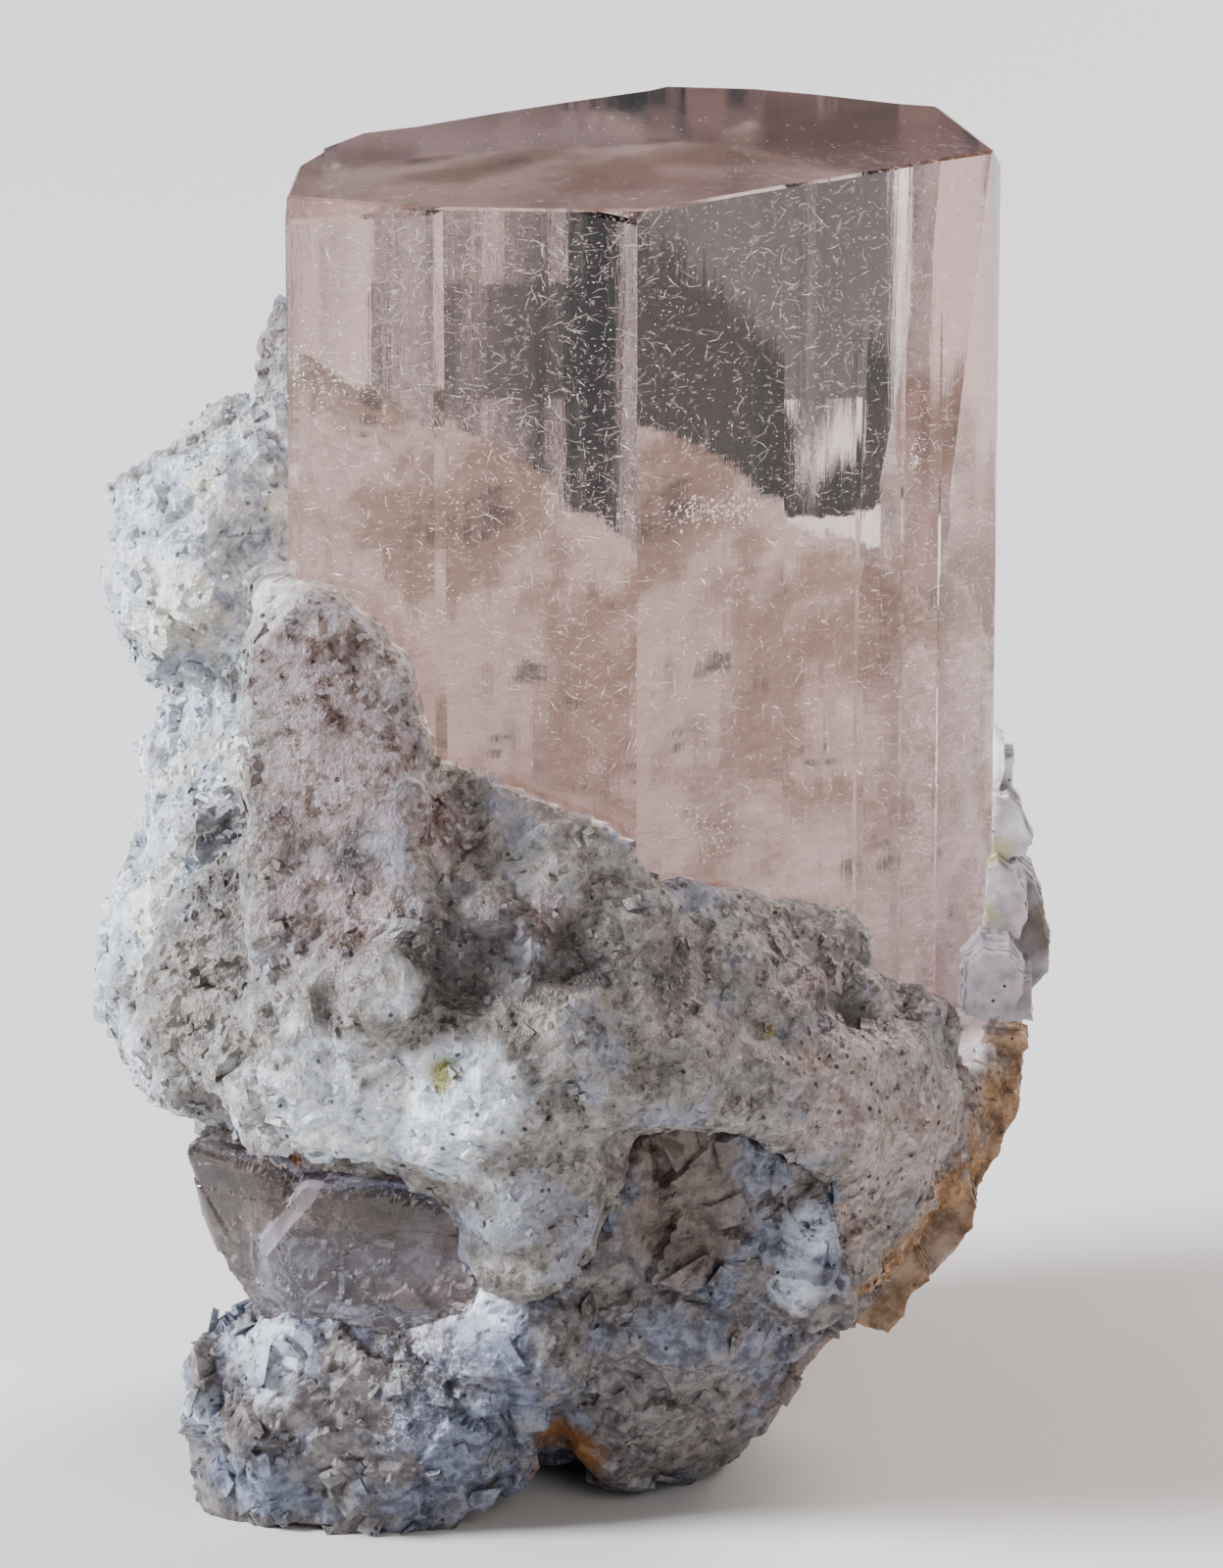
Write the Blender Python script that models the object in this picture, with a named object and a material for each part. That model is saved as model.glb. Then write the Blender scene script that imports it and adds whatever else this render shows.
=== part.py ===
"""A topaz crystal in its feldspar matrix, with albite blades and quartz, as one loose specimen.

The functions work in millimetres: X to the right, Y away from the front, Z up, with the
ground at z = 0. The last step turns the pieces into metres and puts the origin on the
ground under the middle of the specimen's box.
"""

import math
import random

import bmesh
import bpy
from mathutils import Matrix, Vector, noise

METRE = 0.001
GAP = 0.32
MERGE = 0.0001

# The least share of a push that a face may take from a sharp corner's move
SHARPEST_CORNER = 0.35

# The topaz prism: heights of its buried foot, of the knee of its right corner and of its top
PRISM_FOOT = 19.2
PRISM_KNEE = 45.0
PRISM_TOP = 66.0

# Its corners at the top, seen from above and counted anticlockwise from the front left one
PRISM_CORNERS = [
    (-15.4, -14.6),
    (-8.4, -16.5),
    (1.2, -17.3),
    (10.3, -9.3),
    (18.5, -1.8),
    (19.1, 0.9),
    (17.7, 9.9),
    (5.8, 17.1),
    (3.8, 17.4),
    (-13.5, 2.2),
    (-15.1, -5.7),
]

# The right corner stands further forward below the knee, so the narrow face widens downwards
RIGHT_CORNER = 4
RIGHT_CORNER_BELOW = (16.1, -3.9)

# Growth steps on the prism's sides: how far along each side they are, and the depth after each
SIDE_STEPS = {
    0: [(0.56, 0.22)],
    1: [(0.05, 0.2), (0.6, 0.08)],
    2: [(0.35, 0.15), (0.8, 0.0)],
    3: [(0.3, 0.2), (0.72, 0.05)],
    5: [(0.4, 0.3)],
    6: [(0.25, 0.3), (0.6, 0.1), (0.85, 0.35)],
    8: [(0.12, 0.3), (0.34, 0.1), (0.55, 0.4), (0.8, 0.15)],
    9: [(0.5, 0.25)],
}
STEP_RUN = 0.12

# Planes that take the sharp edges off the prism's top: a point on each, and its direction
TOP_CHIPS = [
    ((-13.6, -15.1, 65.15), (-0.3, -0.75, 0.8)),
    ((1.2, -17.0, 65.8), (0.05, -0.9, 0.75)),
    ((-14.2, 1.2, 64.9), (-0.8, 0.35, 0.75)),
    ((18.4, 3.5, 65.2), (0.8, 0.15, 0.7)),
    ((4.5, 17.0, 65.2), (0.1, 0.8, 0.7)),
]

# The rock under and around the prism: rings of its core as height, left, right, front and back
CORE_RINGS = [
    (-3.0, -15.0, 2.0, -3.0, 9.0),
    (0.0, -16.0, 3.5, -6.0, 10.5),
    (3.0, -17.5, 7.0, -11.5, 12.5),
    (6.5, -17.0, 11.0, -14.5, 14.5),
    (9.0, -17.2, 13.5, -15.5, 15.5),
    (12.5, -19.0, 15.5, -16.8, 17.0),
    (16.0, -20.6, 17.2, -17.6, 18.5),
    (19.0, -21.2, 18.2, -18.5, 19.3),
    (24.0, -19.5, 17.0, -19.0, 19.0),
]
CORE_ROUNDNESS = 2.6
CORE_SIDES = 28

# The feldspar's convex blocks, each given by the corners of its hull
FRONT_LEFT_SLAB = [
    (-17.0, -16.6, 48.0), (-13.9, -17.4, 47.6), (-11.2, -17.8, 45.6), (-9.6, -18.2, 43.2),
    (-8.8, -19.0, 39.8), (-17.3, -23.0, 31.0), (-8.0, -25.0, 30.0), (-17.0, -22.5, 22.5),
    (-8.0, -24.0, 20.5), (-17.0, -10.0, 47.2), (-9.6, -12.0, 43.0), (-17.0, -8.0, 18.0),
    (-8.0, -8.0, 18.0),
]
FRONT_MIDDLE_BLOCK = [
    (-9.4, -17.5, 39.8), (-1.7, -18.0, 36.6), (1.4, -18.2, 35.6), (4.3, -16.0, 31.8),
    (-9.5, -25.0, 30.0), (-2.0, -25.5, 27.0), (4.5, -22.5, 25.0), (-9.5, -23.6, 20.5),
    (5.0, -20.5, 22.4), (-9.4, -10.0, 39.0), (4.3, -8.0, 31.0), (-9.5, -8.0, 18.0),
    (5.0, -6.0, 18.0),
]
FRONT_RIGHT_BLOCK = [
    (3.2, -16.8, 33.2), (6.7, -13.5, 30.6), (10.1, -10.5, 29.6), (12.1, -8.8, 29.2),
    (13.8, -7.6, 25.4), (4.0, -22.0, 25.0), (10.0, -17.5, 23.0), (13.2, -12.4, 21.5),
    (4.0, -20.5, 22.4), (8.5, -17.8, 19.6), (13.5, -10.5, 17.5), (4.0, -5.0, 30.0),
    (12.0, 0.0, 28.0), (4.0, 0.0, 16.0), (13.0, 0.0, 16.0),
]
RIGHT_BASE_BLOCK = [
    (10.0, -13.0, 19.6), (13.5, -11.0, 20.8), (17.4, -5.4, 20.7), (20.4, 0.8, 20.5),
    (20.8, 5.5, 19.6), (20.2, 5.0, 15.8), (18.4, 1.0, 12.4), (16.5, -2.0, 10.0),
    (14.5, -5.0, 7.6), (11.6, -10.5, 9.0), (10.6, -13.4, 13.0), (10.0, 4.0, 7.0),
    (17.0, 7.0, 11.0), (18.5, 10.0, 20.0),
]
BACK_WALL_LEFT = [
    (-14.0, 1.0, 57.0), (-9.0, 5.5, 54.5), (-3.0, 11.0, 48.0), (4.0, 17.0, 44.5),
    (-17.5, 3.0, 55.5), (-12.0, 9.5, 52.5), (-5.5, 14.0, 46.5), (3.0, 18.8, 43.5),
    (-20.0, 0.0, 20.0), (-18.0, 13.0, 20.0), (-5.0, 19.0, 20.0), (5.0, 19.0, 20.0),
    (-14.0, 0.0, 20.0),
]
BACK_WALL_RIGHT = [
    (3.0, 17.0, 44.5), (9.0, 14.5, 42.0), (17.0, 9.0, 38.0), (4.0, 19.0, 43.0),
    (11.0, 17.5, 40.0), (18.5, 12.5, 36.0), (3.0, 19.0, 20.0), (12.0, 18.5, 20.0),
    (19.0, 12.0, 20.0), (18.0, 2.0, 20.0), (3.0, 5.0, 20.0),
]

# The feldspar's lumps: middle, radii, turn about Z in degrees
LUMPS = [
    ((-19.5, -5.5, 27.5), (5.2, 8.0, 8.0), 10),
    ((-20.5, -9.0, 24.5), (4.1, 6.0, 5.0), 40),
    ((-19.7, -1.5, 31.2), (3.5, 6.0, 5.0), 0),
    ((-17.8, -1.0, 39.5), (2.6, 5.0, 5.0), 20),
    ((-19.8, 1.0, 45.2), (5.4, 6.0, 7.4), 0),
    ((-21.6, 0.0, 43.6), (3.6, 4.0, 4.6), 30),
    ((-18.2, 3.0, 49.6), (3.0, 5.0, 3.2), 15),
    ((-15.8, 4.6, 53.0), (1.3, 3.6, 3.6), 0),
    ((-4.0, -19.5, 19.0), (4.8, 4.2, 6.0), 0),
    ((-7.4, -19.6, 21.6), (2.8, 3.6, 3.4), 20),
    ((-13.0, -20.5, 25.0), (6.5, 4.0, 3.4), 0),
    ((-18.5, -15.0, 27.0), (4.6, 5.0, 6.4), 25),
    ((-11.0, -24.6, 29.4), (2.0, 1.6, 1.7), 0),
    ((-5.0, -23.8, 25.0), (3.0, 1.8, 3.2), 20),
    ((1.0, -22.2, 24.6), (3.2, 2.2, 2.4), 50),
    ((12.4, -9.8, 24.0), (2.0, 2.6, 3.0), 0),
    ((-20.0, 6.0, 30.0), (4.0, 6.0, 9.0), 0),
    ((-15.0, 12.5, 34.0), (4.5, 4.0, 8.0), 35),
    ((-6.0, 16.8, 28.0), (6.0, 3.2, 8.0), 10),
    ((7.0, 17.6, 29.0), (6.0, 2.6, 7.0), 0),
    ((16.0, 13.5, 26.0), (4.0, 4.2, 6.5), 30),
    ((-13.0, 11.0, 21.0), (6.0, 6.0, 7.0), 20),
]

# How each lump gets its flat faces: how many cuts, how near the middle, and its fineness
LUMP_CUTS = 16
LUMP_CUT_RANGE = (0.78, 0.95)
LUMP_SUBDIVISIONS = 3

# The quartz under the feldspar: its lobes, and the right foot that it stands on
QUARTZ_LOBES = [
    ((9.4, -14.2, 14.5), (3.0, 3.4, 5.6), 20),
    ((-5.0, -15.5, 10.0), (4.5, 3.6, 3.6), 0),
    ((3.0, -14.0, 10.4), (6.0, 3.6, 3.0), 15),
    ((0.0, 13.0, 12.0), (9.0, 4.5, 6.0), 0),
    ((-12.0, 9.0, 9.0), (6.0, 6.0, 6.0), 20),
]
RIGHT_FOOT = [
    (-1.6, -13.6, 3.6), (0.2, -12.0, 0.9), (3.7, -10.5, 0.0), (5.5, -9.8, 1.2),
    (7.2, -8.8, 3.0), (8.6, -8.2, 5.6), (10.6, -8.8, 7.8), (9.4, -12.6, 9.0),
    (4.0, -15.4, 9.2), (-1.4, -15.2, 7.6), (1.5, -15.4, 5.0), (-1.0, 0.0, 0.0),
    (5.0, 0.0, 0.0), (9.0, 0.0, 7.0),
]

# Where the feldspar meets the quartz along the front, as X and height; behind, it is level
CONTACT = [
    (-26.0, 16.5), (-12.0, 16.5), (-9.0, 15.8), (-7.6, 14.4), (-4.0, 13.2), (-0.6, 14.0),
    (0.8, 20.4), (2.6, 21.8), (6.0, 21.4), (7.4, 19.6), (9.6, 18.6), (11.4, 12.0),
    (12.4, 7.0), (26.0, 6.0),
]
CONTACT_BEHIND = 12.5
CONTACT_FRONT_Y = -13.0
CONTACT_BACK_Y = -4.0
CONTACT_GAP = 0.5
CONTACT_REACH = 40.0
CONTACT_CELLS = 80

# The block under the ground, and the solid under the contact, go this far out and down
GROUND_REACH = 60.0
DEPTH = 20.0

# How finely each rock is made, and its relief: (detail per mm, height in mm) and round bumps
FELDSPAR_VOXEL = 0.7
FELDSPAR_TRIANGLES = 5200
FELDSPAR_RELIEF = [(0.16, 0.7), (0.42, 0.55), (1.1, 0.16)]
FELDSPAR_BUMPS = (0.36, 0.8)
QUARTZ_VOXEL = 0.6
QUARTZ_TRIANGLES = 2000
QUARTZ_RELIEF = [(0.2, 0.4), (0.7, 0.15)]
QUARTZ_BUMPS = (0.2, 0.3)
BUMP_MIDDLE = 0.45

# Albite blades on the right side: corners of each as X and Z, then front and back Y
BLADES = [
    ([(19.0, 32.5), (19.2, 35.7), (19.8, 35.2), (19.9, 33.8), (19.5, 32.3)], 2.4, 5.2),
    ([(19.1, 32.0), (19.4, 34.3), (20.4, 34.2), (20.3, 32.0)], 3.0, 7.0),
    ([(18.8, 28.6), (18.9, 33.0), (19.9, 32.9), (20.7, 31.8), (21.4, 30.0), (21.0, 29.2)], 1.4, 7.0),
    ([(18.3, 25.3), (18.6, 29.8), (19.3, 30.0), (20.4, 29.3), (21.0, 28.0), (21.1, 26.7),
      (20.6, 25.4), (19.4, 24.9)], -0.6, 5.5),
    ([(20.1, 22.4), (20.3, 29.1), (21.4, 28.0), (21.9, 26.7), (22.4, 24.4), (22.3, 22.6),
      (21.2, 21.4)], 3.2, 9.5),
    ([(17.3, 22.8), (17.4, 25.6), (18.4, 26.5), (19.9, 26.3), (20.7, 25.0), (20.7, 24.0),
      (19.9, 22.7), (18.4, 22.4)], -4.8, 2.0),
    ([(19.2, 21.7), (19.2, 24.2), (21.2, 24.0), (21.3, 21.8)], -2.6, 6.5),
]

# A plate's outline is whole only at this share of its depth, and shrinks to its front and back
BLADE_FULLEST = 0.4
BLADE_FRONT_SIZE = 0.78
BLADE_BACK_SIZE = 0.55

# The feldspar's own stepped plates below them, along its lower right edge
RIGHT_PLATES = [
    ([(18.4, 16.5), (18.6, 21.2), (20.9, 21.0), (20.9, 18.9), (20.2, 17.6), (20.0, 16.1)], -0.6, 7.5),
    ([(17.0, 13.2), (17.4, 19.0), (19.4, 18.0), (19.9, 16.4), (19.3, 14.6), (18.2, 12.5)], -1.8, 6.0),
    ([(15.2, 9.8), (15.0, 15.2), (17.7, 15.9), (18.2, 13.0), (18.1, 11.9), (17.2, 10.6),
      (15.9, 8.9)], -4.2, 5.0),
    ([(10.5, 7.6), (11.0, 12.2), (15.0, 12.4), (16.0, 10.0), (14.9, 9.2), (14.7, 8.1), (13.8, 7.0)],
     -7.0, 3.0),
]

# Smoky quartz in the window under the white ledge: corners of two joined crystals
SMOKY_CRYSTAL = [
    (-14.9, -18.2, 18.0), (-11.0, -19.0, 18.3), (-7.5, -19.0, 17.4), (-6.1, -18.2, 15.2),
    (-7.0, -17.8, 12.2), (-11.0, -17.8, 10.9), (-14.4, -17.4, 11.9), (-15.9, -17.2, 14.7),
    (-15.5, -9.0, 17.8), (-6.0, -9.0, 17.4), (-6.0, -9.0, 11.0), (-15.5, -9.0, 11.0),
]
SMOKY_SIDE = [
    (-20.6, -14.0, 19.0), (-17.0, -17.6, 19.2), (-14.9, -17.6, 17.6), (-15.6, -17.0, 14.0),
    (-14.2, -16.8, 11.5), (-16.8, -14.4, 10.5), (-18.6, -13.4, 12.6), (-19.8, -13.0, 15.4),
    (-19.6, -7.0, 18.2), (-15.0, -7.0, 17.6), (-15.0, -7.0, 11.5), (-17.6, -7.0, 11.5),
]

# The layered left foot: slices that dip to the left
LEFT_FOOT = [
    [(-21.2, -12.0, 4.6), (-20.4, -14.5, 8.2), (-18.6, -15.4, 10.2), (-15.6, -15.6, 10.9),
     (-14.0, -17.6, 7.0), (-16.0, -15.4, -2.0), (-19.4, -13.6, -2.0), (-20.2, -13.5, 1.6),
     (-19.5, -5.0, 6.0), (-15.0, -5.0, 9.5), (-15.0, -5.0, -2.0), (-18.5, -6.0, -2.0)],
    [(-16.4, -16.2, 10.8), (-11.2, -16.2, 10.9), (-9.0, -18.6, 7.4), (-11.0, -15.8, -2.0),
     (-17.0, -15.4, -2.0), (-17.2, -17.4, 6.0), (-16.0, -5.0, 9.5), (-10.0, -5.0, 9.5),
     (-10.0, -5.0, -2.0), (-16.0, -5.0, -2.0)],
    [(-11.8, -16.0, 10.9), (-7.4, -16.2, 10.0), (-5.6, -18.0, 6.6), (-6.8, -17.0, 1.4),
     (-8.4, -15.8, -1.0), (-12.0, -15.6, -2.0), (-12.0, -18.2, 7.0), (-11.0, -5.0, 9.5),
     (-7.0, -5.0, 9.0), (-7.0, -5.0, 0.6), (-11.0, -5.0, -2.0)],
    [(-8.2, -15.2, 9.6), (-4.6, -15.6, 7.4), (-3.9, -16.2, 3.4), (-4.4, -15.8, 1.9),
     (-7.4, -17.0, 0.8), (-8.2, -17.4, 5.0), (-7.5, -6.0, 8.5), (-4.8, -6.0, 7.0),
     (-4.8, -6.0, 2.2), (-7.5, -6.0, 1.0)],
]


def empty_scene():
    for obj in list(bpy.data.objects):
        bpy.data.objects.remove(obj, do_unlink=True)


def chop(shape, point, direction):
    """Cuts off all that lies on the direction's side of a plane, and closes the cut."""
    geometry = shape.verts[:] + shape.edges[:] + shape.faces[:]
    bmesh.ops.bisect_plane(
        shape, geom=geometry, dist=MERGE, plane_co=point, plane_no=direction, clear_outer=True
    )
    rim = [edge for edge in shape.edges if edge.is_boundary]
    bmesh.ops.holes_fill(shape, edges=rim, sides=0)


def loft(rings):
    """A closed solid through rings of points that all have the same count, lowest first."""
    shape = bmesh.new()
    loops = [[shape.verts.new(point) for point in ring] for ring in rings]
    for lower, upper in zip(loops, loops[1:]):
        for i in range(len(lower)):
            j = (i + 1) % len(lower)
            shape.faces.new((lower[i], lower[j], upper[j], upper[i]))
    shape.faces.new(loops[0][::-1])
    shape.faces.new(loops[-1])
    return shape


def hull(corners, grow=0.0):
    """The convex solid around the corners, with each face pushed out by grow."""
    shape = bmesh.new()
    points = [shape.verts.new(corner) for corner in corners]
    bmesh.ops.convex_hull(shape, input=points)
    loose = [vert for vert in shape.verts if not vert.link_faces]
    bmesh.ops.delete(shape, geom=loose, context="VERTS")
    bmesh.ops.recalc_face_normals(shape, faces=shape.faces)
    if grow:
        push_out(shape, grow)
    return shape


def push_out(shape, distance):
    """Moves each corner so that every face around it goes out by at least the distance."""
    moves = []
    for vert in shape.verts:
        normals = [face.normal for face in vert.link_faces]
        middle = sum(normals, Vector()).normalized()
        slack = min(middle.dot(normal) for normal in normals)
        moves.append(middle * distance / max(slack, SHARPEST_CORNER))
    for vert, move in zip(shape.verts, moves):
        vert.co += move


def boulder(middle, radii, turn, seed):
    """A lump with flat faces: a ball cut by planes at seeded angles, then stretched."""
    draw = random.Random(seed)
    shape = bmesh.new()
    bmesh.ops.create_icosphere(shape, subdivisions=LUMP_SUBDIVISIONS, radius=1.0)
    for _ in range(LUMP_CUTS):
        direction = Vector([draw.gauss(0, 1) for _ in range(3)]).normalized()
        chop(shape, direction * draw.uniform(*LUMP_CUT_RANGE), direction)
    spin = Matrix.Rotation(math.radians(turn), 4, "Z")
    bmesh.ops.transform(
        shape,
        matrix=Matrix.Translation(middle) @ spin @ Matrix.Diagonal((*radii, 1.0)),
        verts=shape.verts,
    )
    return shape


def to_object(name, shapes):
    """One object that holds all the shapes as they are."""
    mesh = bpy.data.meshes.new(name)
    whole = bmesh.new()
    for shape in shapes:
        shape.to_mesh(mesh)
        whole.from_mesh(mesh)
        shape.free()
    whole.to_mesh(mesh)
    whole.free()
    obj = bpy.data.objects.new(name, mesh)
    bpy.context.scene.collection.objects.link(obj)
    return obj


def apply_modifiers(obj):
    graph = bpy.context.evaluated_depsgraph_get()
    made = bpy.data.meshes.new_from_object(obj.evaluated_get(graph))
    obj.modifiers.clear()
    obj.data = made


def combine(obj, other, operation):
    """Joins the other object to this one, or cuts it out, and removes the other."""
    step = obj.modifiers.new(operation.lower(), "BOOLEAN")
    step.operation = operation
    step.solver = "EXACT"
    step.object = other
    apply_modifiers(obj)
    bpy.data.objects.remove(other, do_unlink=True)


def united(name, shapes):
    """One solid made from shapes that overlap."""
    whole = to_object(name, shapes[:1])
    for shape in shapes[1:]:
        combine(whole, to_object("next_shape", [shape]), "UNION")
    return whole


def keep_largest(obj):
    """Drops every loose chip but the body with the most corners."""
    shape = bmesh.new()
    shape.from_mesh(obj.data)
    unseen = set(shape.verts)
    bodies = []
    while unseen:
        reached = [unseen.pop()]
        for vert in reached:
            for edge in vert.link_edges:
                other = edge.other_vert(vert)
                if other in unseen:
                    unseen.remove(other)
                    reached.append(other)
        bodies.append(reached)
    bodies.sort(key=len)
    for chips in bodies[:-1]:
        bmesh.ops.delete(shape, geom=chips, context="VERTS")
    shape.to_mesh(obj.data)
    shape.free()


def material(name, color, roughness, transmission=0.0):
    made = bpy.data.materials.new(name)
    made.use_nodes = True
    shader = made.node_tree.nodes["Principled BSDF"]
    shader.inputs["Base Color"].default_value = (*color, 1.0)
    shader.inputs["Roughness"].default_value = roughness
    shader.inputs["Metallic"].default_value = 0.0
    shader.inputs["Transmission Weight"].default_value = transmission
    return made


def stepped_plan(corners):
    """The prism's outline, with its growth steps set back from the straight sides."""
    plan = []
    for side, start in enumerate(corners):
        end = corners[(side + 1) % len(corners)]
        along = Vector(end) - Vector(start)
        inward = Vector((-along.y, along.x)).normalized()
        run = along.normalized() * STEP_RUN
        plan.append(Vector(start))
        depth = 0.0
        for share, next_depth in SIDE_STEPS.get(side, []):
            place = Vector(start) + along * share
            plan.append(place - run + inward * depth)
            plan.append(place + run + inward * next_depth)
            depth = next_depth
    return plan


def prism_rings(corners_above):
    corners_below = list(corners_above)
    corners_below[RIGHT_CORNER] = RIGHT_CORNER_BELOW
    levels = [
        (PRISM_FOOT, corners_below),
        (PRISM_KNEE, corners_below),
        (PRISM_TOP, corners_above),
    ]
    return [[(*point, height) for point in stepped_plan(corners)] for height, corners in levels]


def topaz_crystal():
    """The flat-topped topaz prism, with steps down its sides and chips along its top."""
    shape = loft(prism_rings(PRISM_CORNERS))
    for point, direction in TOP_CHIPS:
        chop(shape, point, Vector(direction).normalized())
    bmesh.ops.recalc_face_normals(shape, faces=shape.faces)
    crystal = to_object("topaz_crystal", [shape])
    crystal.data.materials.append(material("topaz", (0.78, 0.60, 0.55), 0.05, 0.9))
    return crystal


def topaz_room():
    """The prism's own outline with no steps, one gap larger all round: it cuts the socket."""
    corners = PRISM_CORNERS[:RIGHT_CORNER] + [RIGHT_CORNER_BELOW] + PRISM_CORNERS[RIGHT_CORNER:]
    ends = [(*corner, height) for corner in corners for height in (PRISM_FOOT, PRISM_TOP)]
    return to_object("topaz_room", [hull(ends, GAP)])


def blade(outline, front, back, grow=0.0):
    """One albite plate with thin edges."""
    middle = sum((Vector(corner) for corner in outline), Vector((0, 0))) / len(outline)
    fullest = front + (back - front) * BLADE_FULLEST
    layers = [(front, BLADE_FRONT_SIZE), (fullest, 1.0), (back, BLADE_BACK_SIZE)]
    corners = []
    for depth, size in layers:
        for corner in outline:
            spread = middle + (Vector(corner) - middle) * size
            corners.append((spread.x, depth, spread.y))
    return hull(corners, grow)


def blade_shapes(grow=0.0):
    return [blade(outline, front, back, grow) for outline, front, back in BLADES]


def smoky_shapes(grow=0.0):
    return [hull(SMOKY_CRYSTAL, grow), hull(SMOKY_SIDE, grow)]


def superellipse(height, left, right, front, back):
    ring = []
    power = 2.0 / CORE_ROUNDNESS
    for i in range(CORE_SIDES):
        angle = 2 * math.pi * i / CORE_SIDES
        across, along = math.cos(angle), math.sin(angle)
        x = (left + right) / 2 + math.copysign(abs(across) ** power, across) * (right - left) / 2
        y = (front + back) / 2 + math.copysign(abs(along) ** power, along) * (back - front) / 2
        ring.append((x, y, height))
    return ring


def core():
    return loft([superellipse(*ring) for ring in CORE_RINGS])


def feldspar_shapes():
    blocks = [
        FRONT_LEFT_SLAB,
        FRONT_MIDDLE_BLOCK,
        FRONT_RIGHT_BLOCK,
        RIGHT_BASE_BLOCK,
        BACK_WALL_LEFT,
        BACK_WALL_RIGHT,
    ]
    shapes = [core()]
    shapes += [hull(block) for block in blocks]
    shapes += [boulder(*lump, seed) for seed, lump in enumerate(LUMPS)]
    shapes += [blade(*plate) for plate in RIGHT_PLATES]
    return shapes


def quartz_shapes():
    shapes = [core(), hull(RIGHT_FOOT)]
    shapes += [hull(layer) for layer in LEFT_FOOT]
    shapes += [boulder(*lobe, 100 + seed) for seed, lobe in enumerate(QUARTZ_LOBES)]
    return shapes


def roughen(mesh, relief, bumps):
    """Raises and lowers the rock along its normals, with ledges, grains and round bumps."""
    bump_scale, bump_height = bumps
    for vert in mesh.vertices:
        raised = sum(noise.noise(vert.co * scale) * height for scale, height in relief)
        nearest = noise.voronoi(vert.co * bump_scale)[0][0]
        vert.co += vert.normal * (raised + (BUMP_MIDDLE - nearest) * bump_height)


def fuse(obj, voxel, triangles, relief, bumps):
    """Melts overlapping shapes into one rock with a rough surface, in the given triangles."""
    remesh = obj.modifiers.new("remesh", "REMESH")
    remesh.mode = "VOXEL"
    remesh.voxel_size = voxel
    apply_modifiers(obj)
    keep_largest(obj)
    roughen(obj.data, relief, bumps)
    thin = obj.modifiers.new("decimate", "DECIMATE")
    thin.ratio = triangles / (2.0 * len(obj.data.polygons))
    thin.use_collapse_triangulate = True
    apply_modifiers(obj)


def contact_height(x, y):
    """The height at which feldspar meets quartz above a point of the ground."""
    for (left, left_height), (right, right_height) in zip(CONTACT, CONTACT[1:]):
        if x <= right:
            break
    share = (x - left) / (right - left)
    front = left_height + (right_height - left_height) * min(max(share, 0.0), 1.0)
    back = (y - CONTACT_FRONT_Y) / (CONTACT_BACK_Y - CONTACT_FRONT_Y)
    return front + (CONTACT_BEHIND - front) * min(max(back, 0.0), 1.0)


def below_contact(shift):
    """All that lies under the contact, with the contact itself moved up by shift."""
    shape = bmesh.new()
    bmesh.ops.create_grid(
        shape, x_segments=CONTACT_CELLS, y_segments=CONTACT_CELLS, size=CONTACT_REACH
    )
    sheet = shape.faces[:]
    raised = bmesh.ops.extrude_face_region(shape, geom=sheet)["geom"]
    for vert in shape.verts:
        vert.co.z = -DEPTH
    for vert in [item for item in raised if isinstance(item, bmesh.types.BMVert)]:
        vert.co.z = contact_height(vert.co.x, vert.co.y) + shift
    bmesh.ops.recalc_face_normals(shape, faces=shape.faces)
    return to_object("below_contact", [shape])


def ground_block():
    """All that lies under the ground, out past the specimen on every side."""
    sides = (-GROUND_REACH, GROUND_REACH)
    corners = [(x, y, z) for x in sides for y in sides for z in (-DEPTH, 0.0)]
    return to_object("ground_block", [hull(corners)])


def feldspar_matrix():
    """The opaque rock that holds the prism, down to where it meets the quartz."""
    rock = to_object("feldspar_matrix", feldspar_shapes())
    fuse(rock, FELDSPAR_VOXEL, FELDSPAR_TRIANGLES, FELDSPAR_RELIEF, FELDSPAR_BUMPS)
    combine(rock, below_contact(CONTACT_GAP / 2), "DIFFERENCE")
    combine(rock, topaz_room(), "DIFFERENCE")
    for shapes in (blade_shapes, smoky_shapes):
        combine(rock, united("room", shapes(GAP)), "DIFFERENCE")
    keep_largest(rock)
    rock.data.materials.append(material("feldspar", (0.62, 0.58, 0.58), 0.75))
    return rock


def quartz_base():
    """The glassy rock under the feldspar, with its two feet cut flat by the ground."""
    quartz = to_object("quartz_base", quartz_shapes())
    fuse(quartz, QUARTZ_VOXEL, QUARTZ_TRIANGLES, QUARTZ_RELIEF, QUARTZ_BUMPS)
    combine(quartz, below_contact(-CONTACT_GAP / 2), "INTERSECT")
    combine(quartz, topaz_room(), "DIFFERENCE")
    combine(quartz, united("room", smoky_shapes(GAP)), "DIFFERENCE")
    combine(quartz, ground_block(), "DIFFERENCE")
    keep_largest(quartz)
    quartz.data.materials.append(material("pale_quartz", (0.50, 0.50, 0.56), 0.35, 0.2))
    return quartz


def albite_blades():
    blades = united("albite_blades", blade_shapes())
    combine(blades, topaz_room(), "DIFFERENCE")
    keep_largest(blades)
    blades.data.materials.append(material("albite", (0.72, 0.68, 0.70), 0.45))
    return blades


def smoky_quartz():
    quartz = united("smoky_quartz", smoky_shapes())
    combine(quartz, topaz_room(), "DIFFERENCE")
    quartz.data.materials.append(material("smoky_quartz", (0.30, 0.26, 0.24), 0.2, 0.3))
    return quartz


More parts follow.
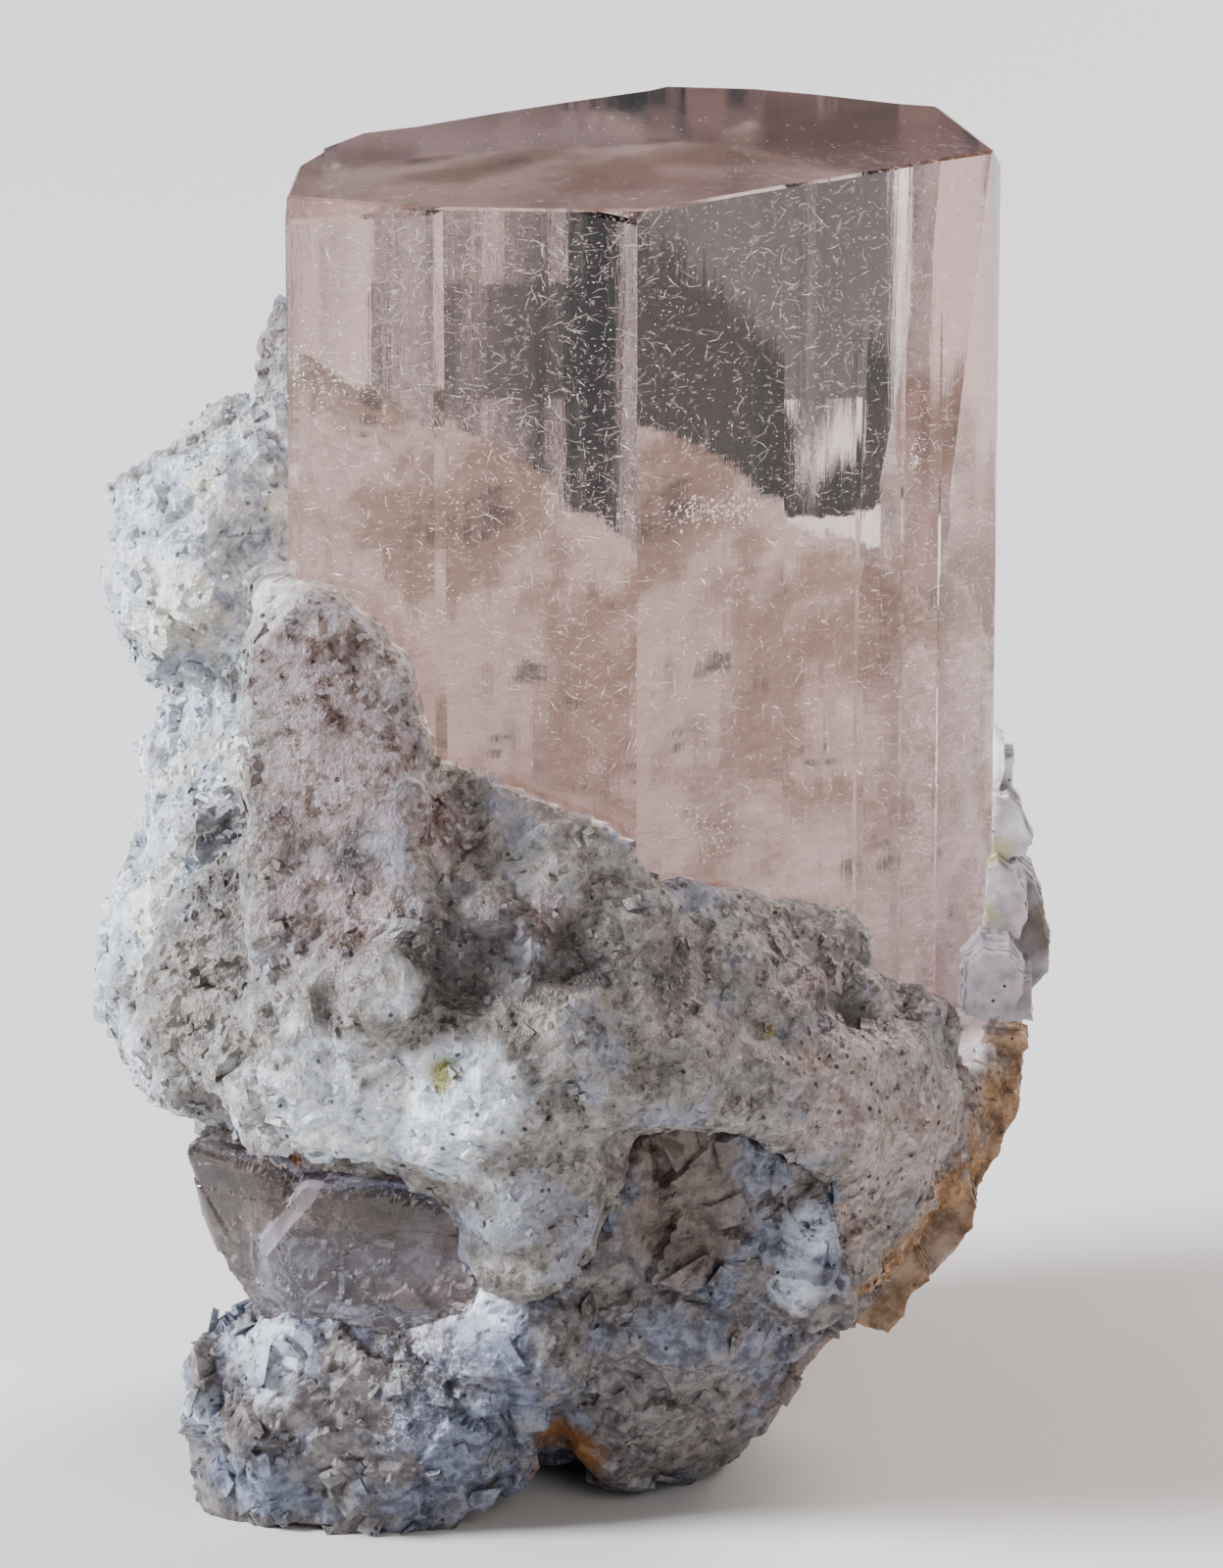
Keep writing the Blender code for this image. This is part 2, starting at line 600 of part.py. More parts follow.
def stand_on_origin(pieces):
    """Puts the origin under the middle of the specimen's box, and turns it into metres."""
    corners = [vert.co for piece in pieces for vert in piece.data.vertices]
    low = Vector([min(corner[axis] for corner in corners) for axis in range(3)])
    high = Vector([max(corner[axis] for corner in corners) for axis in range(3)])
    middle = Vector(((low.x + high.x) / 2, (low.y + high.y) / 2, 0.0))
    for piece in pieces:
        piece.data.transform(Matrix.Scale(METRE, 4) @ Matrix.Translation(-middle))


def main():
    empty_scene()
    pieces = [
        topaz_crystal(),
        feldspar_matrix(),
        albite_blades(),
        smoky_quartz(),
        quartz_base(),
    ]
    stand_on_origin(pieces)


main()
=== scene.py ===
"""Looks for a topaz crystal in its matrix: fine rock, a clear crystal with its needles, floor and light."""

import math
import random

import bmesh
import bpy
from mathutils import Matrix, Quaternion, Vector, noise
from mathutils.bvhtree import BVHTree


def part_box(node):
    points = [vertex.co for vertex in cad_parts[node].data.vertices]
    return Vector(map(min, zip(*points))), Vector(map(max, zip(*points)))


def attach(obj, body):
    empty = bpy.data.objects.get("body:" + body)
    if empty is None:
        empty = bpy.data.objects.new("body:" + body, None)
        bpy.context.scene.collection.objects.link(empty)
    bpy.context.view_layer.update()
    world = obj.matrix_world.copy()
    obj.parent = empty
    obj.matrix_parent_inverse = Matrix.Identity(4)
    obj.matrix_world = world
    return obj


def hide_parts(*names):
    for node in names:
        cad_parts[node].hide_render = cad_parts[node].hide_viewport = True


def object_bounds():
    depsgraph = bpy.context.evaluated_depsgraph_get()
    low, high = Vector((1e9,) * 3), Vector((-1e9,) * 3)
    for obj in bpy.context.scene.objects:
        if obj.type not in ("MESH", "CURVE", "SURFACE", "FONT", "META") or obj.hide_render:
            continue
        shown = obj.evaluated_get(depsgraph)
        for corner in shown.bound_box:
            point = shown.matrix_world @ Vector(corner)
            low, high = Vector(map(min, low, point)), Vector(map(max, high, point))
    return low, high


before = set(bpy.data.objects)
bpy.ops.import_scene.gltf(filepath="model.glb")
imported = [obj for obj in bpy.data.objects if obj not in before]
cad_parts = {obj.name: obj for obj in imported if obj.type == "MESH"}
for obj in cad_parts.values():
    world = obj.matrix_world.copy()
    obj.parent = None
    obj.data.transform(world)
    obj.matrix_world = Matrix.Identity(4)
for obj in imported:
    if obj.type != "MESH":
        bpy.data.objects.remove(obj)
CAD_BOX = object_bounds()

MM = 0.001
BODY = "root"

# The prism's left and front limits in its drawing, in mm, where the drawing's ground point is (0, 0, 0)
DRAWN_LEFT = -15.4
DRAWN_FRONT = -17.3

# The camera, in the drawing's millimetres: how high it aims, how far it stands, how steeply it looks down
AIM_HEIGHT = 33.6
CAMERA_DISTANCE = 390.0
CAMERA_TILT = 15.0
PICTURE_HEIGHT = 1600
PIXEL_AT_AIM = 0.049
SENSOR_HEIGHT = 36.0

# The floor's reach each way, in metres
FLOOR_REACH = 3.0

# Fineness of each rock's mesh, in mm, and how far it grows to close the gaps between the minerals
FELDSPAR_VOXEL = 0.40
QUARTZ_VOXEL = 0.30
SMOKY_VOXEL = 0.20
GROWTH = 0.32
QUARTZ_GROWTH = 0.55
WELD = 0.001

# Broken faces on a rock: how many a mm, how steeply they tilt, and how far each stands out, in mm
FELDSPAR_FACETS = [(0.36, 0.10, 0.30), (1.1, 0.16, 0.12)]
QUARTZ_FACETS = [(0.24, 0.18, 0.5), (0.7, 0.16, 0.14)]
SMOKY_FACETS = [(0.30, 0.05, 0.08)]

# Round lumps and grain: how many a mm, and how high they are, in mm
FELDSPAR_LUMPS = [(0.30, 0.55), (0.75, 0.34)]
QUARTZ_LUMPS = [(0.3, 0.2)]
FELDSPAR_GRAIN = [(0.22, 0.30), (0.7, 0.14), (1.5, 0.10)]
QUARTZ_GRAIN = [(0.5, 0.12), (1.8, 0.05)]
SMOKY_GRAIN = [(0.3, 0.04)]

# Small broken crystals on a rock: how many, half their width in mm, and their height as a share of it
FELDSPAR_CRUMBS = [(2600, (0.16, 0.36), 0.55), (300, (0.4, 0.8), 0.35)]
QUARTZ_CRUMBS = [(260, (0.7, 1.5), 0.14), (350, (0.2, 0.5), 0.3)]
CRUMB_LEAN = 0.32

# A crumb's uneven width, corners, top and height, as shares of its size
CRUMB_WIDTH = (0.5, 1.0)
CRUMB_CORNERS = (0.6, 1.0)
CRUMB_TOP = (0.6, 0.95)
CRUMB_HEIGHT = (0.8, 1.2)
CRUMB_SEED = 31
CRUMB_CROWDS = (0.5, 0.5)

# Where the rock meets the crystal, in mm: rock within the reach grows onto the crystal and a little into
# it, and it is calm out to a further reach. A face lies on the crystal if its normal opposes the crystal's
CONTACT_REACH = 0.9
CONTACT_DEPTH = 0.1
CALM_REACH = 1.5
FACING = -0.5

# The rock is fully rough left of this line. To its right it changes over this width, in mm, to this share
ROUGH_LEFT = -17.5
ROUGH_FADE = 4.0
FRONT_ROUGHNESS = 0.6
ROUGH_CROWDS = (0.13, 0.5)
SPOT_FADE = 1.6
SPOT_SMOOTHNESS = 0.75

# The level of a lump's creases, and which share of the deepest hollow gets painted shade, and from where
CREASE_LEVEL = 0.35
HOLLOW_SHADE_GAIN = 1.6
HOLLOW_SHADE_START = 0.1

# Single lumps and dents on the rock: the middle of each, its reach and how far it stands out, in mm
SWELLS = [
    ((-10.4, -24.4, 30.4), 2.1, 1.0), ((-6.2, -24.2, 31.2), 2.6, -0.9), ((-2.0, -22.4, 31.6), 2.4, -0.8),
    ((-10.2, -24.6, 33.6), 2.4, 0.7), ((-12.6, -23.6, 29.6), 1.6, -0.7), ((11.2, -12.4, 24.6), 1.8, -0.8),
]

# Smooth broken faces on the rock, in mm of the drawing: the middle of each and its reach
SMOOTH_SPOTS = [
    ((11.5, -15.5, 22.0), 2.6), ((13.5, -12.8, 18.5), 3.0), ((16.0, -9.5, 17.5), 2.6),
    ((-14.0, -19.0, 42.5), 3.2), ((-13.0, -21.5, 37.0), 3.0),
]

# The crystal's growth lines: distance between them and how deep they are, in mm, and their levels
LINE_SEED = 4
LINE_PITCH = 0.24
LINE_UNEVEN = (0.5, 1.6)
LINE_LEVELS = 9
LEVEL_UNEVEN = (-0.35, 0.35)
LINE_DEPTH = 0.007

# How the lines' depth changes: noise a mm along X, Y and Z, its strength, and its least and most
LINE_NOISE = (2.3, 2.3, 0.035)
LINE_CROWDS = (0.35, 0.35, 0.02)
CROWDS_START = Vector((0.0, 0.0, 9.0))
CROWDS_STRENGTH = 1.6
LINE_STRENGTHS = (0.12, 1.6)
SMOOTH_FACE = 0.35

# The crystal's faces: in mm, the bevel round its top, the steps too narrow to keep and the top's
# unevenness; in degrees, what still counts as flat, and the least angle of a worn edge
EDGE_BEVEL = 0.14
NARROW_STEP = 0.42
TOP_SLACK = 0.03
FLAT_ANGLE = 0.4
WORN_ANGLE = 15
WORN_FACING = 0.5
UPRIGHT = 0.3
ALONG = 0.75

# The hollow needles and specks in the crystal: how many, and their lengths and widths in mm
NEEDLE_SEED = 11
NEEDLES = 9000
NEEDLE_LENGTH = (0.25, 1.3)
NEEDLE_WIDTH = (0.008, 0.020)
SPECKS = 9000
SPECK_SIZE = (0.012, 0.035)

# How they lie: how deep behind the front and how far from the faces, in mm, how they crowd by noise a mm
# and its strength, how they lean to X, Y and Z, how they bend, and how their ends thin out
DEEPEST_NEEDLE = 9.0
DEPTH_POWER = 1.8
LENGTH_POWER = 0.6
NEEDLE_MARGIN = 0.9
SPECK_MARGIN = 0.15
GLINT_MARGIN = 0.1
COMMON_CROWD = 0.8
NEEDLE_CROWDS = [(0.16, 0.4), (0.5, 0.5)]
NEEDLE_LEAN = (1.0, 0.5, 0.8)
NEEDLE_BEND = 0.12
NEEDLE_TAPER = (0.25, 1.0, 0.25)

# Bright crowds of specks in the crystal: the middle of each, its spread and its count, in mm
GLINTS = [
    ((4.7, -12.2, 50.6), (2.2, 0.6, 0.4), 500), ((3.6, -13.0, 34.6), (1.6, 0.5, 0.7), 400),
    ((14.4, -4.0, 51.0), (0.3, 0.4, 0.4), 60), ((-13.6, -12.5, 57.4), (1.3, 0.6, 1.0), 160),
    ((0.0, 0.0, 65.7), (9.0, 7.0, 0.1), 260),
]
GLINT_SIZE = (0.015, 0.06)


def drawing_origin():
    """Where the drawing's ground point lies in the frame, in mm."""
    low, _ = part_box("topaz_crystal")
    return Vector((low.x / MM - DRAWN_LEFT, low.y / MM - DRAWN_FRONT, 0.0))


ORIGIN = drawing_origin()


def place(x, y, z):
    """A point of the drawing, in the frame's metres."""
    return (Vector((x, y, z)) + ORIGIN) * MM


def make_camera():
    tilt = math.radians(CAMERA_TILT)
    data = bpy.data.cameras.new("camera")
    data.sensor_fit = "VERTICAL"
    data.sensor_height = SENSOR_HEIGHT
    data.lens = CAMERA_DISTANCE / PIXEL_AT_AIM * SENSOR_HEIGHT / PICTURE_HEIGHT
    data.clip_start = 0.01
    data.clip_end = 20.0
    camera = bpy.data.objects.new("camera", data)
    camera.location = place(
        0.0, -CAMERA_DISTANCE * math.cos(tilt), AIM_HEIGHT + CAMERA_DISTANCE * math.sin(tilt)
    )
    camera.rotation_euler = (math.pi / 2 - tilt, 0.0, 0.0)
    bpy.context.scene.collection.objects.link(camera)
    bpy.context.scene.camera = camera


def soft_light(name, spot, aim, size, power, color):
    """A square softbox at a point of the drawing, turned to another."""
    data = bpy.data.lights.new(name, "AREA")
    data.shape = "SQUARE"
    data.size = size * MM
    data.energy = power
    data.color = color
    light = bpy.data.objects.new(name, data)
    light.location = place(*spot)
    light.rotation_euler = (place(*aim) - place(*spot)).to_track_quat("-Z", "Y").to_euler()
    bpy.context.scene.collection.objects.link(light)
    return light


def make_light():
    bpy.context.scene.view_settings.look = "AgX - Medium High Contrast"
    soft_light("key", (-1000, -260, 620), (0, 0, 30), 360, 28.0, (0.90, 0.95, 1.0))
    soft_light("fill", (500, -900, 500), (0, 0, 30), 700, 4.2, (1.0, 0.95, 0.9))
    soft_light("back", (600, 700, 650), (0, 0, 40), 500, 10.0, (1.0, 0.90, 0.86))
    world = bpy.data.worlds.new("studio")
    world.use_nodes = True
    world.node_tree.nodes["Background"].inputs["Color"].default_value = (0.92, 0.94, 1.0, 1.0)
    world.node_tree.nodes["Background"].inputs["Strength"].default_value = 0.16
    bpy.context.scene.world = world


def limit_bounces():
    """Enough light bounces for the clear crystal, and no more."""
    cycles = bpy.context.scene.cycles
    cycles.max_bounces = 8
    cycles.diffuse_bounces = 2
    cycles.glossy_bounces = 2
    cycles.transmission_bounces = 8


def new_piece(name, corners, faces):
    """An object whose mesh has these corners and faces."""
    mesh = bpy.data.meshes.new(name)
    mesh.from_pydata(corners, [], faces)
    obj = bpy.data.objects.new(name, mesh)
    bpy.context.scene.collection.objects.link(obj)
    return obj


def stage_piece(name, corners, color, roughness):
    """A flat sheet of the surroundings, in one plain colour."""
    obj = new_piece(name, corners, [tuple(range(len(corners)))])
    made = bpy.data.materials.new(name)
    made.use_nodes = True
    shader = made.node_tree.nodes["Principled BSDF"]
    shader.inputs["Base Color"].default_value = (*color, 1.0)
    shader.inputs["Roughness"].default_value = roughness
    obj.data.materials.append(made)
    return obj


def make_floor():
    corners = [(x * FLOOR_REACH, y * FLOOR_REACH, 0) for x, y in ((-1, -1), (1, -1), (1, 1), (-1, 1))]
    stage_piece("floor", corners, (0.78, 0.77, 0.76), 0.8)


# Short ways to write shader nodes: each gives back the socket that the next one reads


def feed(tree, socket, value):
    if isinstance(value, bpy.types.NodeSocket):
        tree.links.new(value, socket)
    elif isinstance(value, tuple) and len(value) == 3 and len(socket.default_value) == 4:
        socket.default_value = (*value, 1.0)
    else:
        socket.default_value = value


def add(tree, kind, inputs, output=0, **settings):
    made = tree.nodes.new("ShaderNode" + kind)
    for name, value in settings.items():
        setattr(made, name, value)
    for name, value in inputs.items():
        feed(tree, made.inputs[name], value)
    return made.outputs[output]


def millimetres(tree, stretch=(1.0, 1.0, 1.0)):
    """Object coordinates in mm, so that a texture's scale is a count per mm."""
    where = add(tree, "TexCoord", {}, "Object")
    scale = tuple(share / MM for share in stretch)
    return add(tree, "VectorMath", {0: where, 1: scale}, operation="MULTIPLY")


def clouds(tree, where, scale, detail=4.0, roughness=0.6, distortion=0.0):
    inputs = {"Vector": where, "Scale": scale, "Detail": detail}
    inputs.update({"Roughness": roughness, "Distortion": distortion})
    return add(tree, "TexNoise", inputs)


def cells(tree, where, scale, output="Distance", feature="F1"):
    return add(tree, "TexVoronoi", {"Vector": where, "Scale": scale}, output, feature=feature)


def window(tree, value, low, high):
    """0 below low and 1 above high, or the other way round where low is the greater."""
    inputs = {"Value": value, "From Min": low, "From Max": high}
    return add(tree, "MapRange", inputs, interpolation_type="SMOOTHSTEP")


def calc(tree, operation, first, second=0.0):
    return add(tree, "Math", {0: first, 1: second}, operation=operation)


def mix(tree, share, first, second, blend="MIX"):
    made = tree.nodes.new("ShaderNodeMix")
    made.data_type = "RGBA"
    made.blend_type = blend
    feed(tree, made.inputs[0], share)
    feed(tree, made.inputs[6], first)
    feed(tree, made.inputs[7], second)
    return made.outputs[2]


def clouds_color(tree, where, scale):
    """Three noises at once, which bend the coordinates of a finer pattern."""
    return add(tree, "TexNoise", {"Vector": where, "Scale": scale, "Detail": 2.0}, "Color")


def mask(tree, name):
    return add(tree, "Attribute", {}, "Fac", attribute_name=name)


def broken_normal(tree, where, scale, tilt):
    """A normal that differs from one small crystal face to the next, so that they glint."""
    color = cells(tree, where, scale, "Color")
    lean = add(tree, "VectorMath", {0: color, 1: (0.5, 0.5, 0.5)}, operation="SUBTRACT")
    lean = add(tree, "VectorMath", {0: lean, "Scale": tilt}, operation="SCALE")
    normal = add(tree, "NewGeometry", {}, "Normal")
    total = add(tree, "VectorMath", {0: normal, 1: lean}, operation="ADD")
    return add(tree, "VectorMath", {0: total}, operation="NORMALIZE")


def bump(tree, height, distance, strength=1.0, normal=None):
    inputs = {"Height": height, "Distance": distance * MM, "Strength": strength}
    if normal is not None:
        inputs["Normal"] = normal
    return add(tree, "Bump", inputs, "Normal")


def new_material(name):
    made = bpy.data.materials.new(name)
    made.use_nodes = True
    tree = made.node_tree
    shader = tree.nodes["Principled BSDF"]
    return made, tree, shader


def finish_shader(tree, shader, **inputs):
    for name, value in inputs.items():
        feed(tree, shader.inputs[name.replace("_", " ")], value)


def socket_color(tree):
    """The rock's face on the crystal: pale and beige, with patches of painted shade, upright streaks and
    painted light.
    """
    where = millimetres(tree)
    patches = clouds(tree, where, 0.13, 4.0, 0.62, 0.5)
    streaks = clouds(tree, millimetres(tree, (1.0, 1.0, 0.12)), 1.1, 3.0, 0.7)
    color = mix(tree, window(tree, patches, 0.40, 0.56), (0.50, 0.41, 0.34), (0.90, 0.83, 0.83))
    # painted shade: dark patches on the rock's face under the crystal
    color = mix(tree, window(tree, patches, 0.36, 0.30), color, (0.16, 0.13, 0.12))
    color = mix(tree, window(tree, streaks, 0.44, 0.30), color, (0.42, 0.35, 0.33))
    # painted light: the glow of the clear crystal on the rock below it, palest low down
    return mix(tree, mask(tree, "glow"), color, (0.97, 0.94, 0.96))


def feldspar_material():
    """Sugary feldspar: white, beige, brown and orange by place, painted shade in its hollows and crevices,
    painted light under the crystal, with glints.
    """
    made, tree, shader = new_material("feldspar")
    where = millimetres(tree)
    patches = clouds(tree, where, 0.2, 3.0)
    mottle = clouds(tree, where, 0.8, 4.5, 0.72)
    fine = clouds(tree, where, 3.2, 3.0, 0.7)
    grain = cells(tree, where, 3.4, "Color")
    grain_light = add(tree, "SeparateColor", {"Color": grain}, 0)

    beige = mix(tree, window(tree, mottle, 0.3, 0.68), (0.16, 0.14, 0.13), (0.40, 0.365, 0.34))
    beige = mix(tree, window(tree, patches, 0.5, 0.62), beige, (0.30, 0.30, 0.345))
    white = mix(tree, window(tree, mottle, 0.3, 0.62), (0.42, 0.46, 0.54), (0.80, 0.83, 0.88))
    white = mix(tree, window(tree, patches, 0.5, 0.6), white, (0.80, 0.77, 0.72))
    brown = mix(tree, window(tree, mottle, 0.36, 0.62), (0.12, 0.075, 0.06), (0.34, 0.27, 0.27))
    brown = mix(tree, window(tree, grain_light, 0.72, 0.95), brown, (0.36, 0.32, 0.36))
    pink = mix(tree, window(tree, mottle, 0.3, 0.65), (0.26, 0.20, 0.19), (0.48, 0.40, 0.38))
    # the colour of the painted shade in the rock's crevices
    dark = mix(tree, window(tree, fine, 0.4, 0.65), (0.035, 0.03, 0.035), (0.19, 0.16, 0.155))
    orange = mix(tree, window(tree, mottle, 0.3, 0.65), (0.20, 0.10, 0.045), (0.50, 0.33, 0.21))
    green = (0.24, 0.22, 0.08)

    color = mix(tree, mask(tree, "white"), beige, white)
    color = mix(tree, mask(tree, "pink"), color, pink)
    color = mix(tree, mask(tree, "brown"), color, brown)
    color = mix(tree, mask(tree, "orange"), color, orange)
    color = mix(tree, mask(tree, "green"), color, green)
    # painted shade in the crevices, where the dark zone lies, made ragged by the mottle
    ragged = calc(tree, "MULTIPLY", mask(tree, "dark"), window(tree, mottle, 0.36, 0.58))
    color = mix(tree, ragged, color, dark)
    # painted shade in the rock's hollows, darker where the rock lies deeper
    hollow = calc(tree, "MULTIPLY", mask(tree, "hollow"), 0.5)
    color = mix(tree, hollow, color, (0.10, 0.085, 0.085))
    speck = window(tree, cells(tree, where, 1.1), 0.17, 0.10)
    speck = calc(tree, "MULTIPLY", speck, window(tree, mottle, 0.58, 0.42))
    dots = calc(tree, "MULTIPLY", window(tree, cells(tree, where, 1.5), 0.22, 0.15), mask(tree, "pink"))
    speck = calc(tree, "MAXIMUM", speck, dots)
    color = mix(tree, calc(tree, "MULTIPLY", speck, 0.85), color, (0.03, 0.022, 0.022))
    tone = mix(tree, grain_light, (0.72, 0.72, 0.72), (1.15, 1.15, 1.15))
    color = mix(tree, 1.0, color, tone, "MULTIPLY")
    color = mix(tree, mask(tree, "contact"), color, socket_color(tree))

    glassy = window(tree, patches, 0.56, 0.44)
    roughness = add(tree, "MapRange", {"Value": glassy, "To Min": 0.75, "To Max": 0.30})
    sparkle = calc(tree, "MULTIPLY", window(tree, grain_light, 0.86, 0.88), 0.75)
    roughness = calc(tree, "MULTIPLY", roughness, calc(tree, "SUBTRACT", 1.0, sparkle))
    facets = broken_normal(tree, where, 3.4, 0.7)
    height = calc(tree, "SUBTRACT", fine, calc(tree, "MULTIPLY", speck, 0.3))
    finish_shader(
        tree,
        shader,
        Base_Color=color,
        Roughness=roughness,
        IOR=1.53,
        Normal=bump(tree, height, 0.26, 0.8, facets),
    )
    return made


def quartz_material():
    """Bluish glassy quartz with white veils and dark specks."""
    made, tree, shader = new_material("pale_quartz")
    where = millimetres(tree)
    patches = clouds(tree, where, 0.22, 4.0, 0.6, 0.4)
    mottle = clouds(tree, where, 1.3, 4.5, 0.7)
    bent = add(tree, "VectorMath", {0: where, 1: clouds_color(tree, where, 1.6)}, operation="ADD")
    web = window(tree, cells(tree, bent, 1.9, "Distance", "DISTANCE_TO_EDGE"), 0.10, 0.0)
    web = calc(tree, "MULTIPLY", web, mask(tree, "web"))
    web = calc(tree, "MULTIPLY", web, window(tree, mottle, 0.40, 0.6))
    blue = mix(tree, window(tree, mottle, 0.32, 0.68), (0.075, 0.08, 0.115), (0.30, 0.325, 0.42))
    grey = mix(tree, window(tree, mottle, 0.32, 0.68), (0.095, 0.08, 0.08), (0.32, 0.28, 0.275))
    glass = mix(tree, window(tree, mottle, 0.3, 0.7), (0.085, 0.062, 0.052), (0.24, 0.185, 0.165))
    color = mix(tree, window(tree, patches, 0.42, 0.6), blue, grey)
    color = mix(tree, mask(tree, "grey"), color, grey)
    color = mix(tree, mask(tree, "brown"), color, glass)
    flake = calc(tree, "MULTIPLY", mask(tree, "white"), window(tree, mottle, 0.34, 0.5))
    color = mix(tree, flake, color, (0.62, 0.66, 0.76))
    color = mix(tree, mask(tree, "orange"), color, (0.34, 0.17, 0.07))
    color = mix(tree, web, color, (0.66, 0.70, 0.80))
    speck = window(tree, cells(tree, where, 0.9), 0.13, 0.08)
    color = mix(tree, speck, color, (0.03, 0.025, 0.03))
    facets = broken_normal(tree, where, 1.2, 0.4)
    finish_shader(
        tree,
        shader,
        Base_Color=color,
        Roughness=add(tree, "MapRange", {"Value": mottle, "To Min": 0.08, "To Max": 0.45}),
        IOR=1.54,
        Transmission_Weight=0.2,
        Subsurface_Weight=0.3,
        Subsurface_Radius=(0.9, 0.95, 1.0),
        Subsurface_Scale=0.0012,
        Normal=bump(tree, clouds(tree, where, 2.2, 6.0, 0.65), 0.2, 0.6, facets),
    )
    return made


def smoky_material():
    """Grey-brown clear quartz."""
    made, tree, shader = new_material("smoky_quartz")
    where = millimetres(tree)
    mottle = clouds(tree, where, 0.5, 5.0, 0.6)
    color = mix(tree, window(tree, mottle, 0.35, 0.7), (0.40, 0.32, 0.29), (0.58, 0.49, 0.46))
    color = mix(tree, mask(tree, "pink"), color, (0.68, 0.54, 0.54))
    color = mix(tree, mask(tree, "shard"), color, (0.62, 0.60, 0.68))
    color = mix(tree, mask(tree, "amber"), color, (0.40, 0.16, 0.02))
    solid = calc(tree, "MAXIMUM", calc(tree, "MULTIPLY", mask(tree, "shard"), 0.5), mask(tree, "amber"))
    finish_shader(
        tree,
        shader,
        Base_Color=color,
        Roughness=0.04,
        IOR=1.54,
        Transmission_Weight=add(tree, "MapRange", {"Value": solid, "To Min": 0.9, "To Max": 0.35}),
        Normal=bump(tree, clouds(tree, where, 0.4, 2.0, 0.5), 0.1, 0.2),
    )
    return made


def albite_material():
    """Pale lavender translucent albite in thin plates, with greenish stains."""
    made, tree, shader = new_material("albite")
    where = millimetres(tree)
    mottle = clouds(tree, where, 0.8, 6.0, 0.7)
    color = mix(tree, window(tree, mottle, 0.3, 0.7), (0.33, 0.30, 0.33), (0.66, 0.62, 0.67))
    color = mix(tree, mask(tree, "white"), color, (0.88, 0.87, 0.90))
    color = mix(tree, mask(tree, "brown"), color, (0.24, 0.20, 0.17))
    color = mix(tree, mask(tree, "green"), color, (0.40, 0.37, 0.20))
    amber = mix(tree, window(tree, mottle, 0.36, 0.62), (0.16, 0.085, 0.04), (0.46, 0.31, 0.20))
    color = mix(tree, mask(tree, "orange"), color, amber)
    speck = window(tree, cells(tree, where, 1.1), 0.12, 0.08)
    color = mix(tree, speck, color, (0.06, 0.045, 0.04))
    facets = broken_normal(tree, where, 1.6, 0.25)
    finish_shader(
        tree,
        shader,
        Base_Color=color,
        Roughness=0.3,
        IOR=1.53,
        Transmission_Weight=0.25,
        Subsurface_Weight=0.4,
        Subsurface_Radius=(1.0, 0.9, 0.85),
        Subsurface_Scale=0.0012,
        Normal=bump(tree, clouds(tree, where, 2.5, 6.0, 0.7), 0.12, 0.6, facets),
    )
    return made


def topaz_material():
    """Clear pinkish topaz, a little streaked along its growth lines."""
    made, tree, shader = new_material("topaz")
    streaks = millimetres(tree, (1.0, 1.0, 0.06))
    lines = clouds(tree, streaks, 1.6, 5.0, 0.65)
    finish_shader(
        tree,
        shader,
        Base_Color=(1.0, 0.98, 0.97),
        Roughness=0.02,
        IOR=1.62,
        Transmission_Weight=1.0,
        Normal=bump(tree, lines, 0.03, 0.5),
    )
    absorption = tree.nodes.new("ShaderNodeVolumeAbsorption")
    absorption.inputs["Color"].default_value = (0.62, 0.37, 0.32, 1.0)
    absorption.inputs["Density"].default_value = 22.0
    tree.links.new(absorption.outputs[0], tree.nodes["Material Output"].inputs["Volume"])
    return made


def needle_material():
    """The whitish walls of the hollow needles in the crystal."""
    made, tree, shader = new_material("needles")
    where = millimetres(tree)
    tone = clouds(tree, where, 0.8, 3.0)
    color = mix(tree, tone, (0.34, 0.27, 0.25), (0.80, 0.72, 0.70))
    finish_shader(tree, shader, Base_Color=color, Roughness=0.3)
    return made


def copy_of(node, name):
    """A free copy of a node's mesh, in mm of the drawing."""
    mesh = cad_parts[node].data.copy()
    mesh.name = name
    mesh.materials.clear()
    mesh.transform(Matrix.Translation(-ORIGIN) @ Matrix.Scale(1 / MM, 4))
    shape = bmesh.new()
    shape.from_mesh(mesh)
    bmesh.ops.remove_doubles(shape, verts=shape.verts, dist=WELD)
    shape.to_mesh(mesh)
    shape.free()
    obj = bpy.data.objects.new(name, mesh)
    bpy.context.scene.collection.objects.link(obj)
    return obj


def applied(obj):
    graph = bpy.context.evaluated_depsgraph_get()
    made = bpy.data.meshes.new_from_object(obj.evaluated_get(graph))
    obj.modifiers.clear()
    obj.data = made


def remeshed(obj, voxel):
    step = obj.modifiers.new("remesh", "REMESH")
    step.mode = "VOXEL"
    step.voxel_size = voxel
    applied(obj)


def limited(value, low=0.0, high=1.0):
    return min(max(value, low), high)


def facet_height(spot, scale, tilt, rise):
    """The height over a rock, at a spot, of flat broken faces that meet at edges."""
    center = noise.voronoi(spot * scale)[1][0]
    lean = noise.cell_vector(center) - Vector((0.5, 0.5, 0.5))
    away = spot - center / scale
    return (noise.cell(center + Vector((7.0, 3.0, 5.0))) - 0.5) * rise + 2 * tilt * lean.dot(away)


def lump_height(spot, scale, rise):
    """The height of round lumps that meet in creases."""
    nearest = noise.voronoi(spot * scale)[0][0]
    return (CREASE_LEVEL - nearest * nearest) * rise


